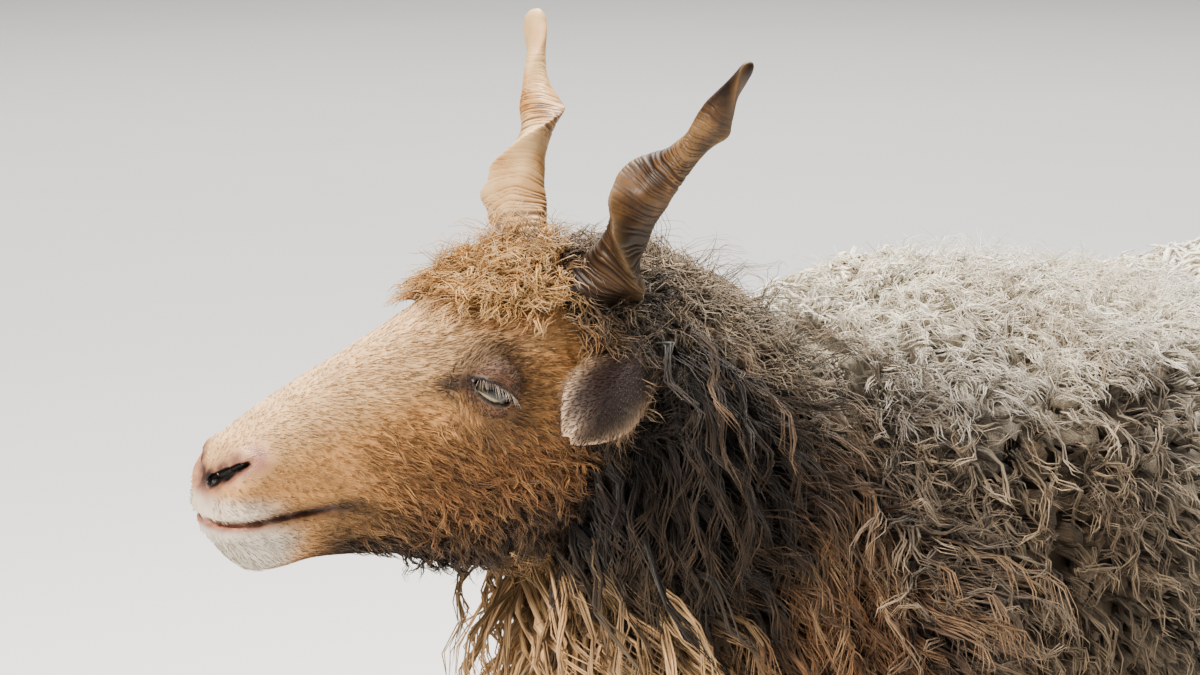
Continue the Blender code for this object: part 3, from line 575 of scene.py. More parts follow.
def mouth_groove():
    """A thin wedge along the meeting of the lips, from one corner round to the other."""
    rings = []
    for sweep in np.linspace(-1, 1, 41):
        back = -7.0 + (MOUTH_CORNER[1] + 7.0) * abs(sweep) ** 1.6
        top, widest, bottom, half_width = smooth(HEAD, max(back, HEAD[0][0]))
        up = mouth_level(back)
        share = max(1 - ((up - widest) / (bottom - widest)) ** 2, 0.0) ** 0.5
        x = math.copysign(min(half_width * share + 1.5, abs(sweep) * 60), sweep)
        heading = np.array((x, back - 45, 0)) / math.hypot(x, back - 45)
        outer = np.array((x, back, up)) + heading * 5
        inner = outer - heading * (5 + MOUTH_DEPTH)
        lift = np.array((0, 0, 1.0))
        rings.append(
            [outer + lift * MOUTH_GAP, inner + lift * 0.5, inner - lift * 0.5, outer - lift * MOUTH_GAP]
        )
    return closed_body("mouth_groove", placed(np.array(rings)))


def nostril(side):
    """A comma-shaped hollow that runs back and up into the side of the nose."""
    steps = np.linspace(0, len(NOSTRIL_PATH) - 1, 17)
    known = range(len(NOSTRIL_PATH))
    path = np.stack([np.interp(steps, known, NOSTRIL_PATH[:, i]) for i in range(3)], axis=1)
    rings = []
    for k, centre in enumerate(path):
        t = k / (len(path) - 1)
        tangent = path[min(k + 1, len(path) - 1)] - path[max(k - 1, 0)]
        tangent /= np.linalg.norm(tangent)
        lift = np.cross(tangent, (1, -0.35, 0))
        lift /= np.linalg.norm(lift)
        out = np.cross(lift, tangent)
        half = (4.4 - 2.2 * t) * math.sin(math.pi * (0.22 + 0.66 * t))
        rings.append(oval(centre, out, lift, 7.5, half, half, 2.0, 20))
    rings = np.array(rings) * FLIP[side]
    return closed_body("nostril", placed(rings))


joined(head, "UNION", [ball("lid", EYE_CENTRE, EYE_RADIUS + LID_THICK, s) for s in (1, -1)])
joined(head, "DIFFERENCE", [mouth_groove(), nostril(1), nostril(-1)])
joined(head, "DIFFERENCE", [ball("socket", EYE_CENTRE, EYE_RADIUS + 0.2, s) for s in (1, -1)])
joined(head, "DIFFERENCE", [lid_opening(1), lid_opening(-1)])
shaped(head, "REMESH", mode="VOXEL", voxel_size=HEAD_GRAIN)
shaped(head, "SMOOTH", factor=0.5, iterations=2)
joined(body, "UNION", [head])
body.data.shade_smooth()
skin_tree = BVHTree.FromPolygons(
    [v.co for v in body.data.vertices], [p.vertices for p in body.data.polygons]
)

# Colours of the coat and the bare skin: markings, with painted light and shade laid in among them.
# Both are painted by the same rule from a place on the body, so that the skin under the tufts
# always matches them.
BRIDGE, FACE, CHEEK = tint(224, 184, 134), tint(206, 152, 92), tint(146, 99, 58)
JAW, CHIN, EYE_RING = tint(50, 35, 26), tint(234, 222, 206), tint(62, 41, 35)
NOSE_PINK, LIP_DARK, BROW = tint(164, 114, 96), tint(38, 27, 25), tint(192, 140, 88)
GOLD, CREAM, POLL = tint(196, 146, 82), tint(232, 212, 178), tint(88, 69, 53)
NECK_DARK, NECK_WARM, NECK_TIP = tint(34, 27, 23), tint(116, 86, 62), tint(208, 168, 126)
THROAT = tint(206, 166, 118)
SHOULDER_GREY, FLEECE_CREAM, FLEECE_WARM = tint(104, 90, 74), tint(252, 246, 232), tint(246, 232, 206)
BELLY, LEG_BROWN, LEG_DARK = tint(176, 154, 130), tint(124, 96, 72), tint(80, 60, 48)
NOSTRIL_SHADE = (0.004, 0.003, 0.003)
NECK_CREST, NECK_RUST, NECK_GREY = tint(150, 134, 112), tint(138, 92, 56), tint(100, 95, 88)
# The torso's middle height, and the slanting edge of the fleece: at this level it is this far
# forward, and it comes forward by the slope as it rises.
TORSO_LEVEL = 0.513
EDGE_PLACE, EDGE_LEVEL, EDGE_SLOPE = -0.20, 0.62, 0.40


def share(values, low, high):
    """Nought below low and one above high, with a smooth step between, in either order."""
    t = np.clip((values - low) / (high - low), 0, 1)
    return (t * t * (3 - 2 * t))[:, None]


def toward(colour, other, amount):
    """Colours moved towards another one by this share."""
    return colour + (np.array(other) - colour) * amount


def to_left(places):
    """Places of the head, with those on its right flipped to the left."""
    return places * np.where(places[:, :1] < 0, MIRROR, np.ones(3))


def slit_half(across):
    """The share of its full height that the opening between the lids has, this far along it."""
    return np.sqrt(np.clip(1 - (across / LID_HALF_LENGTH) ** 2, 0, 1)) ** 1.25


def near(places, centre, reach):
    """A soft spot about a place, one at its middle."""
    gap = np.abs(places[:, :1]) - centre[0], places[:, 1:2] - centre[1], places[:, 2:3] - centre[2]
    return np.exp(-(gap[0] ** 2 + gap[1] ** 2 + gap[2] ** 2) / reach**2)


def ripple(places, size, seed):
    """A smooth random field from -1 to 1, as a few crossed waves."""
    draw = np.random.default_rng(seed)
    total = np.zeros(len(places))
    for _ in range(7):
        way = draw.normal(size=3)
        way /= np.linalg.norm(way) * size
        total += np.sin(places @ way * 2 * math.pi + draw.uniform(0, 2 * math.pi))
    return np.clip(total / 3.2, -1, 1)[:, None]


def head_colour(places):
    """The head's markings, with painted light and shade, from places in its own millimetres."""
    back, up = places[:, 1], places[:, 2]
    colour = np.tile(np.array(FACE), (len(places), 1))
    # The bridge and top of the face are paler, partly their own tan and partly painted light where the lamp
    # falls; the lower back of the cheek is darker, partly its own brown and partly painted shade.
    colour = toward(colour, BRIDGE, share(up - back * 0.40, -22, 6) * 0.9)
    colour = toward(colour, CHEEK, share(back, 70, 110) * share(up - back * 0.12, 12, -16))
    colour = toward(colour, BROW, share(back, 120, 150) * share(up, 56, 72))
    colour = toward(colour, JAW, share(back, 50, 74) * share(up, -37, -50) * 0.92)
    colour = toward(colour, JAW, share(back, 45, 64) * share(up, -20, -38) * 0.60)
    colour = toward(colour, CHIN, share(back, 52, 26) * share(up, -30, -42))
    colour = toward(colour, CHIN, share(back, 40, 8) * share(up, -14, -24) * 0.8)
    colour = toward(colour, EYE_RING, np.clip(near(places, (47, 143, 44), 22) * 1.3, 0, 0.85))
    # Along the line of the mouth: the lips' dark edge, with painted shade in the mouth's groove.
    from_line = np.exp(-(((up - mouth_level(back)) / 5.0) ** 2))[:, None]
    colour = toward(colour, LIP_DARK, from_line * share(back, 14, 32) * share(back, 92, 72) * 0.9)
    mirrored = to_left(places)
    # A dark slit ahead of each eye: its dark skin, with painted shade in the hollow of the tear pit.
    for spot in ((50, 126, 41), (44, 124, 41), (38, 122, 40), (35, 117, 37)):
        colour = toward(colour, LIP_DARK, near(mirrored, spot, 6.0))
    # Painted shadow behind and below each eye, where the eye's bulge shades the face, over some darker
    # hair.
    for spot, reach in (((48, 140, 15), 8), ((51, 156, 22), 9), ((51, 171, 34), 12)):
        colour = toward(colour, JAW, near(mirrored, spot, reach) * 0.62)
    # The lower back of the cheek darkens, partly dark hair and partly painted shade where the face turns
    # away from the light.
    colour = toward(colour, JAW, share(up - (back - 140) * 0.3, -6, -34) * share(back, 112, 158) * 0.88)
    colour = toward(colour, GOLD, share(back, 128, 146) * share(up, 70, 80) * share(back, 206, 190))
    colour = toward(colour, POLL, share(back, 186, 206) * share(up, 26, 44))
    # Behind the cheek and below the ear: dark wool, with painted shade where the head shades the neck.
    colour = toward(colour, NECK_DARK, share(back, 184, 204) * share(up, 40, 18) * 0.95)
    return colour * (1 + 0.12 * ripple(places, 21, 3) + 0.04 * ripple(places, 7, 4))


def bare_skin(places):
    """How bare the head is here: at the nose, the lips and the rims of the lids."""
    side, back, up = np.abs(places[:, 0]), places[:, 1], places[:, 2]
    bare = np.zeros((len(places), 1))
    for x, y, z in NOSTRIL_PATH:
        bare = np.maximum(bare, near(places, (x, y, z), 6.5))
        bare = np.maximum(bare, near(places, (x - 6, y + 3, z), 7.0) * 1.5)
    below = up - mouth_level(back)
    lips = np.exp(-(((below + 2.0) / 3.4) ** 2))[:, None] * share(back, 34, 18)
    lips = np.maximum(lips, np.exp(-((below / 2.0) ** 2))[:, None] * share(back, 66, 58))
    rim = in_lids(places) ** 2
    return np.clip(np.maximum(np.maximum(bare * 1.3, lips), rim), 0, 1)


def in_lids(places):
    """One along the rims of the lids, falling off within two or three millimetres."""
    away = to_left(places) - np.array(EYE_CENTRE)
    along, high, out = away @ LID_ACROSS, away @ LID_UP, away @ LID_OUT
    half = slit_half(along)
    gap = np.minimum(np.abs(high - LID_UPPER * half), np.abs(high + LID_LOWER * half))
    beyond = np.clip(np.abs(along) - LID_HALF_LENGTH, 0, None)
    return (np.clip(2.5 - np.hypot(gap, beyond) / 1.5, 0, 1) * (out > 0))[:, None]


def in_opening(places):
    """One between the lids, nought elsewhere."""
    away = to_left(places) - np.array(EYE_CENTRE)
    along, high, out = away @ LID_ACROSS, away @ LID_UP, away @ LID_OUT
    half = slit_half(along)
    return (high < LID_UPPER * half + 0.6) & (high > -LID_LOWER * half - 0.6) & (out > 0) & (half > 0)


def neck_share(points):
    """How far along the neck places lie, from its root at 0 to the atlas at 1."""
    away = points - np.array(NECK_ROOT + SHIFT)
    return away @ np.array(NECK_ALONG) / NECK_AXIS.length


def neck_top(points):
    """How far places lie above the neck's middle line, square to it."""
    return (points - np.array(NECK_ROOT + SHIFT)) @ np.array(NECK_UP)


def ahead_of_fleece(points, soft=0.04):
    """One on the neck's side of the slanting edge where its dark wool meets the fleece."""
    place = points - np.array(SHIFT)
    edge = place[:, 1] + (place[:, 2] - EDGE_LEVEL) * EDGE_SLOPE
    edge = edge + 0.012 * ripple(place, 0.06, 15)[:, 0]
    return share(edge, EDGE_PLACE, EDGE_PLACE - soft)[:, 0]


def body_colour(points):
    """The coat's markings behind the head, with painted shade on the neck, from places in metres."""
    place = points - np.array(SHIFT)
    side, along, high = np.abs(place[:, 0]), place[:, 1], place[:, 2]
    level = high - TORSO_LEVEL
    wool = np.tile(np.array(FLEECE_CREAM), (len(place), 1))
    wool = toward(wool, FLEECE_WARM, 0.5 + 0.5 * ripple(place, 0.11, 11))
    patchy = level + 0.02 * ripple(place, 0.09, 14)[:, 0]
    wool = toward(wool, SHOULDER_GREY, share(patchy, 0.160, 0.115) * share(along, 0.20, -0.12))
    wool = toward(wool, BELLY, share(level, -0.02, -0.12) * 0.8)
    neck = np.tile(np.array(NECK_DARK), (len(place), 1))
    neck = toward(neck, NECK_WARM, 0.40 + 0.38 * ripple(place, 0.030, 12))
    top, ahead_by = neck_top(points), neck_share(points)
    neck = toward(neck, NECK_CREST, share(top, 0.01, 0.08) * 0.8)
    # Painted shade where the head shades the upper neck, over its dark wool.
    in_shade = share(ahead_by, 0.52, 0.72) * share(top, 0.045, 0.015) * share(top, -0.100, -0.080)
    neck = toward(neck, NECK_DARK, in_shade * 0.95)
    neck = toward(neck, NECK_RUST, share(ahead_by, 0.0, 0.2) * share(ahead_by, 0.62, 0.42) * 0.38)
    edge = along + (high - EDGE_LEVEL) * EDGE_SLOPE
    neck = toward(neck, NECK_GREY, share(edge, -0.30, -0.25) * share(high, 0.76, 0.70) * 0.85)
    neck = toward(neck, THROAT, share(top, -0.076, -0.094) * share(ahead_by, 0.35, 0.7) * 0.9)
    ahead = ahead_of_fleece(points)[:, None] * share(high, 0.40, 0.44)
    colour = toward(wool, neck, ahead)
    leg = np.tile(np.array(LEG_BROWN), (len(place), 1))
    leg = toward(leg, LEG_DARK, share(high, 0.16, 0.05))
    colour = toward(colour, leg, share(high, 0.40, 0.30) * share(along, 0.485, 0.462))
    return colour * (1 + 0.10 * ripple(place, 0.035, 13))


def markings_light_and_shade(points):
    """The colour of the coat, or of the skin under it, at these places: markings with painted light and
    shade.
    """
    places = in_head(points)
    from_nose = np.linalg.norm(places / (1, 1.6, 1), axis=1)
    on_head = share(places[:, 1], 232, 205) * share(from_nose, 190, 160)
    on_head *= 1 - share(places[:, 1], 150, 175) * share(places[:, 2], -48, -60)
    return np.clip(toward(body_colour(points), head_colour(places), on_head), 0.005, 1)


def paint_points(obj, name, kind, values):
    """Stores a colour, a vector or a number for each point of the mesh."""
    attribute = obj.data.attributes.new(name, kind, "POINT")
    field = {"FLOAT_COLOR": "color", "FLOAT_VECTOR": "vector", "FLOAT": "value"}[kind]
    attribute.data.foreach_set(field, np.ascontiguousarray(values, np.float32).ravel())


def points_of(obj):
    flat = np.empty(len(obj.data.vertices) * 3, np.float32)
    obj.data.vertices.foreach_get("co", flat)
    return flat.reshape(-1, 3).astype(float)


skin_points = points_of(body)
head_places = in_head(skin_points)
bare = bare_skin(head_places) * (head_places[:, 1:2] < 190)
skin_colour = markings_light_and_shade(skin_points)
spotted = share(ripple(head_places, 9, 21)[:, 0], 0.2, 0.9) * 0.25
flesh = toward(np.tile(np.array(NOSE_PINK), (len(bare), 1)), LIP_DARK, spotted)
flesh = toward(flesh, EYE_RING, np.clip(near(head_places, EYE_CENTRE, 26) * 2, 0, 0.9))
flesh = toward(flesh, LIP_DARK, in_lids(head_places))
# The lips' dark edge along the mouth's groove, partly painted shade in the groove.
in_line = np.exp(-(((head_places[:, 2] - mouth_level(head_places[:, 1])) / 1.8) ** 2))[:, None]
in_line = in_line * share(head_places[:, 1], 72, 62) * share(head_places[:, 1], 4, 20)
flesh = toward(flesh, LIP_DARK, in_line * 0.97)
# Painted shade deep in each nostril's hollow, near black.
for x, y, z in NOSTRIL_PATH[:4]:
    inside = np.clip(near(head_places, (x - 7, y + 3.5, z), 5.0) * 2.2, 0, 1)
    flesh = toward(flesh, NOSTRIL_SHADE, inside)
skin_colour = toward(skin_colour, flesh, bare)
opaque = np.ones((len(bare), 1))
paint_points(body, "markings_light_and_shade", "FLOAT_COLOR", np.concatenate([skin_colour, opaque], axis=1))
paint_points(body, "bare", "FLOAT", bare)

skin_finish, skin_shader, start = new_finish("skin", 0.62, Specular_IOR_Level=0.35)
place = start.node("ShaderNodeTexCoord", output="Object")
base = start.node("ShaderNodeAttribute", output="Color", attribute_name="markings_light_and_shade")
naked = start.node("ShaderNodeAttribute", output="Fac", attribute_name="bare")
hair = start.node("ShaderNodeTexNoise", {"Vector": place, "Scale": 700.0, "Detail": 3.0})
pores = start.node("ShaderNodeTexVoronoi", {"Vector": place, "Scale": 900.0})
mottle = start.node("ShaderNodeTexNoise", {"Vector": place, "Scale": 160.0, "Detail": 5.0})
feed(skin_shader, "Base Color", (mottle * 0.6).mixed(base, tint(150, 138, 130), "MULTIPLY"))
feed(skin_shader, "Roughness", naked * -0.22 + 0.66)
bumped(skin_shader, pores * naked + hair * (1 - naked), 0.0004, 0.7)
body.data.materials.clear()
body.data.materials.append(skin_finish)
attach(body, "root")
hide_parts("head", "neck", "torso", "tail", "leg_fl", "leg_fr", "leg_hl", "leg_hr")

# Each eye is a glass ball with a grey-brown iris, a level slot of a pupil, a pale band where the
# lower lid touches it, painted as the highlight of its wet edge, and a clear bulge over the iris.
IRIS_REACH, PUPIL_HALF, PUPIL_HIGH, EYE_BULGE = 0.74, 0.44, 0.17, 0.05
eye_finish, eye_shader, start = new_finish("eye", 0.10)
look = start.node("ShaderNodeAttribute", output="Vector", attribute_name="look")
across = look.node("ShaderNodeSeparateXYZ", {0: look}, output=0)
upward = look.node("ShaderNodeSeparateXYZ", {0: look}, output=1)
reach = (across * across + upward * upward) ** 0.5
slot = ((across / PUPIL_HALF) ** 4.0 + (upward / PUPIL_HIGH) ** 4.0) ** 0.25
spokes = look.node("ShaderNodeTexNoise", {"Vector": look, "Scale": 9.0, "Detail": 4.0})
iris = spokes.mixed(tint(26, 25, 27), tint(74, 66, 56))
rim = reach.node("ShaderNodeMapRange", {"Value": reach, 1: IRIS_REACH - 0.12, 2: IRIS_REACH})
iris = rim.mixed(iris, tint(32, 22, 16))
# A painted highlight: the wet edge under the lower lid is painted pale.
wet_edge_highlight = upward.node("ShaderNodeMapRange", {"Value": upward, 1: -0.235, 2: -0.285})
iris = wet_edge_highlight.mixed(iris, tint(146, 134, 108))
open_pupil = slot.node("ShaderNodeMapRange", {"Value": slot, 1: 0.92, 2: 1.06})
feed(eye_shader, "Base Color", open_pupil.mixed(tint(6, 5, 6), iris))
for side, letter in SIDES:
    eye = ball("eye_ball_" + letter, EYE_CENTRE, EYE_RADIUS, side)
    flip = FLIP[side]
    away = in_head(points_of(eye)) - np.array(EYE_CENTRE) * flip
    away *= flip
    look_at = np.stack([away @ LID_ACROSS, away @ LID_UP, away @ LID_OUT], axis=1) / EYE_RADIUS
    cornea = np.clip((look_at[:, 2] - 0.72) / 0.28, 0, 1)[:, None]
    away *= 1 + EYE_BULGE * cornea
    moved = placed((away * flip) + np.array(EYE_CENTRE) * flip)
    eye.data.vertices.foreach_set("co", moved.astype(np.float32).ravel())
    paint_points(eye, "look", "FLOAT_VECTOR", look_at)
    eye.data.shade_smooth()
    eye.data.materials.append(eye_finish)
    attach(eye, "root")
    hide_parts("eye_" + letter)

# Each horn is made as its sheath of horn alone, one closed body; the bony core inside it is not
# built. It grows in a corkscrew round a leaning axis, with a keel along its outer edge and close
# growth rings across it. The right one is cream, and the left one is a dark golden brown, partly
# its own weathering and partly painted shade.
HORN_ROOT, HORN_LENGTH, HORN_SUNK = np.array((32.5, 208.0, 86.0)), 193.0, 36.0
HORN_LEAN = Vector((0.470, 0.285, 0.825)).normalized()
HORN_TURNS, HORN_START, HORN_WANDER = 1.80, 5.80, 5.0
HORN_BASE, HORN_TIP, HORN_KEEL = 19.5, 4.4, 0.44
HORN_ROWS, HORN_SIDES, RING_STEP, RING_DEEP = 300, 56, 3.4, 0.95
HORN_SQUARENESS, HORN_ROUNDS_FROM, HORN_GNARL = 1.75, 0.965, 0.07
HORN_SHADE = {1: 1.0, -1: 0.12}
horn_finish, horn_shader, start = new_finish("horn_growth", 0.46, Specular_IOR_Level=0.25)
place = start.node("ShaderNodeTexCoord", output="Object")
grow = start.node("ShaderNodeAttribute", output="Vector", attribute_name="growth")
along = grow.node("ShaderNodeSeparateXYZ", {0: grow}, output=0)
valley = grow.node("ShaderNodeSeparateXYZ", {0: grow}, output=1)
keel = grow.node("ShaderNodeSeparateXYZ", {0: grow}, output=2)
patch = start.node("ShaderNodeTexNoise", {"Vector": place, "Scale": 38.0, "Detail": 4.0})
fine = start.node("ShaderNodeTexNoise", {"Vector": place, "Scale": 900.0, "Detail": 2.0})
warm = patch.node("ShaderNodeMapRange", {"Value": patch, 1: 0.38, 2: 0.62})
# This attribute darkens the left horn: partly its weathering and partly painted shade.
weathered_and_shaded = start.node("ShaderNodeAttribute", output="Fac", attribute_name="weathered_and_shaded")
pale = warm.mixed(tint(216, 178, 128), tint(188, 136, 80))
pale = weathered_and_shaded.mixed(pale, warm.mixed(tint(86, 57, 26), tint(26, 18, 12)))
banded = valley * 0.62 + patch * 1.2 - 0.50 + weathered_and_shaded * 0.24
dark = banded.node("ShaderNodeMapRange", {"Value": banded, 1: 0.22, 2: 0.62})
toned = (dark * 0.90).mixed(pale, weathered_and_shaded.mixed(tint(92, 62, 40), tint(24, 15, 10)))
# Near black towards the root, partly the horn's dark base rings and partly painted shade where it meets the
# wool.
ends = along.node("ShaderNodeMapRange", {"Value": along, 1: 0.16, 2: 0.52, 3: 0.80, 4: 0.0})
toned = (ends * (weathered_and_shaded * 1.2 + 0.2)).mixed(toned, tint(30, 20, 14))
# The keel is painted a little paler, partly its own paler horn and partly a painted highlight along the lit
# edge.
feed(horn_shader, "Base Color", (keel * 0.10).mixed(toned, tint(196, 158, 112)))
feed(horn_shader, "Roughness", fine * 0.25 + 0.36)
bumped(horn_shader, valley * -1.0 + fine * 0.35, 0.0005, 0.6)
for side, letter in SIDES:
    lean = np.array(HORN_LEAN)
    first = np.array(HORN_LEAN.cross(Vector((0, 1, 0))).normalized())
    second = np.cross(lean, first)
    rings, growth = [], []
    angle = 2 * math.pi * np.arange(HORN_SIDES) / HORN_SIDES
    for k in range(HORN_ROWS):
        t = k / (HORN_ROWS - 1)
        turn = -(HORN_START + 2 * math.pi * HORN_TURNS * t)
        wide = first * math.cos(turn) + second * math.sin(turn)
        flat = np.cross(lean, wide)
        wander = HORN_WANDER * math.sin(math.pi * min(t * 1.2, 1.0))
        centre = HORN_ROOT + lean * (HORN_LENGTH * t - HORN_SUNK) + wide * wander
        half_width = HORN_BASE + (HORN_TIP - HORN_BASE) * t**1.25
        half_thick = half_width * (0.86 - 0.10 * t)
        if t > HORN_ROUNDS_FROM:
            round_off = math.sqrt(max(1 - ((t - HORN_ROUNDS_FROM) / 0.036) ** 2, 0.0))
            half_width, half_thick = half_width * round_off + 0.05, half_thick * round_off + 0.05
        sizes = (half_width, half_thick, half_thick)
        ring = oval(centre, wide, flat, *sizes, HORN_SQUARENESS, HORN_SIDES)
        edge = np.clip((ring - centre) @ wide / half_width, 0, 1)
        ring += np.outer(HORN_KEEL * (0.6 + 0.4 * min(t * 3, 1)) * half_width * edge**4, wide)
        bend = 1.1 * np.sin(angle * 2 + 1.3) + 0.6 * np.sin(angle * 3 + 5.0 * t)
        level = (HORN_LENGTH * t + bend) / (RING_STEP * (1.15 - 0.5 * t))
        level = level + 0.45 * np.sin(level * 0.83 + 1.0) + 0.3 * np.sin(level * 2.17)
        groove = 0.5 - 0.5 * np.cos(2 * math.pi * level)
        strong = (0.72 + 0.28 * math.sin(HORN_LENGTH * t / 9.0 + 0.6)) * min(1, max(0, 8 - 9 * t))
        deep = groove**2 * RING_DEEP * (1.0 - 0.6 * t) * strong
        outward = ring - centre
        outward /= np.linalg.norm(outward, axis=1, keepdims=True)
        ring -= outward * deep[:, None]
        rings.append(ring * FLIP[side])
        growth.append(np.stack([np.full(HORN_SIDES, t), groove**3 * strong, edge**6], axis=1))
    rings = np.array(rings)
    core = rings.mean(axis=1, keepdims=True)
    gnarl = ripple(rings.reshape(-1, 3) * np.array((side, 1, 1)), 17, 33).reshape(*rings.shape[:2], 1)
    rings = core + (rings - core) * (1 + HORN_GNARL * gnarl)
    horn = closed_body("horn_sheath_" + letter, placed(rings))
    growth = np.concatenate(growth)
    growth = np.concatenate([growth, growth[[0, -1]]])
    paint_points(horn, "growth", "FLOAT_VECTOR", growth)
    # The left horn is painted far darker than the right, partly weathering and partly painted shade.
    uneven = HORN_SHADE[side] + 0.12 * ripple(points_of(horn), 0.05, 41)[:, 0]
    paint_points(horn, "weathered_and_shaded", "FLOAT", np.clip(uneven, 0, 1))
    horn.data.materials.append(horn_finish)
    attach(horn, "root")
    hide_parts("horn_" + letter)

# Each ear is a thin cupped leaf of gristle and skin, velvety outside and paler in the cup.
EAR_ROOT, EAR_LENGTH, EAR_HALF_WIDTH = np.array((43.0, 238.0, 44.0)), 102.0, 22.0
EAR_LEAN, EAR_FACE = np.array((0.56, -0.80, -0.16)), np.array((-0.50, -0.40, -0.76))
EAR_CUP, EAR_THICK, EAR_DROOP, EAR_ROWS, EAR_ACROSS = 11.0, 3.2, 8.0, 56, 33
EAR_ALONG = EAR_LEAN / np.linalg.norm(EAR_LEAN)
EAR_HOLLOW = EAR_FACE - EAR_ALONG * (EAR_FACE @ EAR_ALONG)
EAR_HOLLOW /= np.linalg.norm(EAR_HOLLOW)
EAR_BREADTH = np.cross(EAR_ALONG, EAR_HOLLOW)


def ear_rings():
    """Sections of the left ear, each from one rim over the cup and back under the leaf."""
    rings = []
    for t in np.linspace(0, 1, EAR_ROWS):
        half_width = EAR_HALF_WIDTH * (0.42 + 0.58 * math.sin(math.pi * min(0.10 + t * 0.65, 0.5)))
        half_width *= max(1 - max(t - 0.5, 0) ** 2 * 3.4, 0.12)
        cup = EAR_CUP * (1 - 0.75 * t)
        centre = EAR_ROOT + EAR_ALONG * EAR_LENGTH * t - np.array((0, 0, EAR_DROOP * t * t))
        thick = EAR_THICK * (1 + 0.8 * (1 - min(t * 3, 1.0)))
        u = np.linspace(-1, 1, EAR_ACROSS)
        upper = centre + np.outer(u * half_width, EAR_BREADTH) - np.outer(cup * (1 - u * u), EAR_HOLLOW)
        v = u[-2:0:-1]
        bulge = cup * (1 - v * v) + thick * (1 - 0.35 * np.abs(v) - 0.5 * np.abs(v) ** 6)
        lower = centre + np.outer(v * half_width * 0.985, EAR_BREADTH) - np.outer(bulge, EAR_HOLLOW)
        rings.append(np.concatenate([upper, lower]))
    return np.array(rings)


ear_finish, ear_shader, start = new_finish("ear", 0.78, Specular_IOR_Level=0.25)
place = start.node("ShaderNodeTexCoord", output="Object")
part_of = start.node("ShaderNodeAttribute", output="Vector", attribute_name="ear_place")
rim_near = part_of.node("ShaderNodeSeparateXYZ", {0: part_of}, output=1)
hollow = part_of.node("ShaderNodeSeparateXYZ", {0: part_of}, output=2)
veins = start.node("ShaderNodeTexNoise", {"Vector": place, "Scale": 25.0, "Detail": 2.0})
fuzz = start.node("ShaderNodeTexNoise", {"Vector": place, "Scale": 800.0, "Detail": 2.0})
# The outer face is painted very dark, partly its own brown skin and partly painted shade from the head.
outer = veins.mixed(tint(30, 21, 19), tint(50, 36, 33))
inner = veins.mixed(tint(176, 126, 110), tint(206, 160, 140))
coloured = hollow.mixed(outer, inner)
# The rim is painted pale, partly its pale margin hair and partly painted light along the rim.
feed(ear_shader, "Base Color", (rim_near * 0.7).mixed(coloured, tint(206, 172, 140)))
bumped(ear_shader, fuzz, 0.0004, 0.6)
EAR_LEAVES = {}
for side, letter in SIDES:
    leaf = placed(ear_rings() * FLIP[side])
    ear = closed_body("ear_leaf_" + letter, leaf)
    from_middle = np.linspace(-1, 1, EAR_ACROSS)
    rim_share = np.concatenate([from_middle, from_middle[-2:0:-1]])
    rows = np.repeat(np.linspace(0, 1, EAR_ROWS), leaf.shape[1])
    rims = np.tile(np.abs(rim_share) ** 6, EAR_ROWS)
    cups = np.tile((np.arange(leaf.shape[1]) < EAR_ACROSS).astype(float), EAR_ROWS)
    told = np.stack([rows, np.maximum(rims, rows**14), cups], axis=1)
    paint_points(ear, "ear_place", "FLOAT_VECTOR", np.concatenate([told, told[[0, -1]]]))
    ear.data.materials.append(ear_finish)
    EAR_LEAVES[side] = leaf
    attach(ear, "root")
    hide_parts("ear_" + letter)

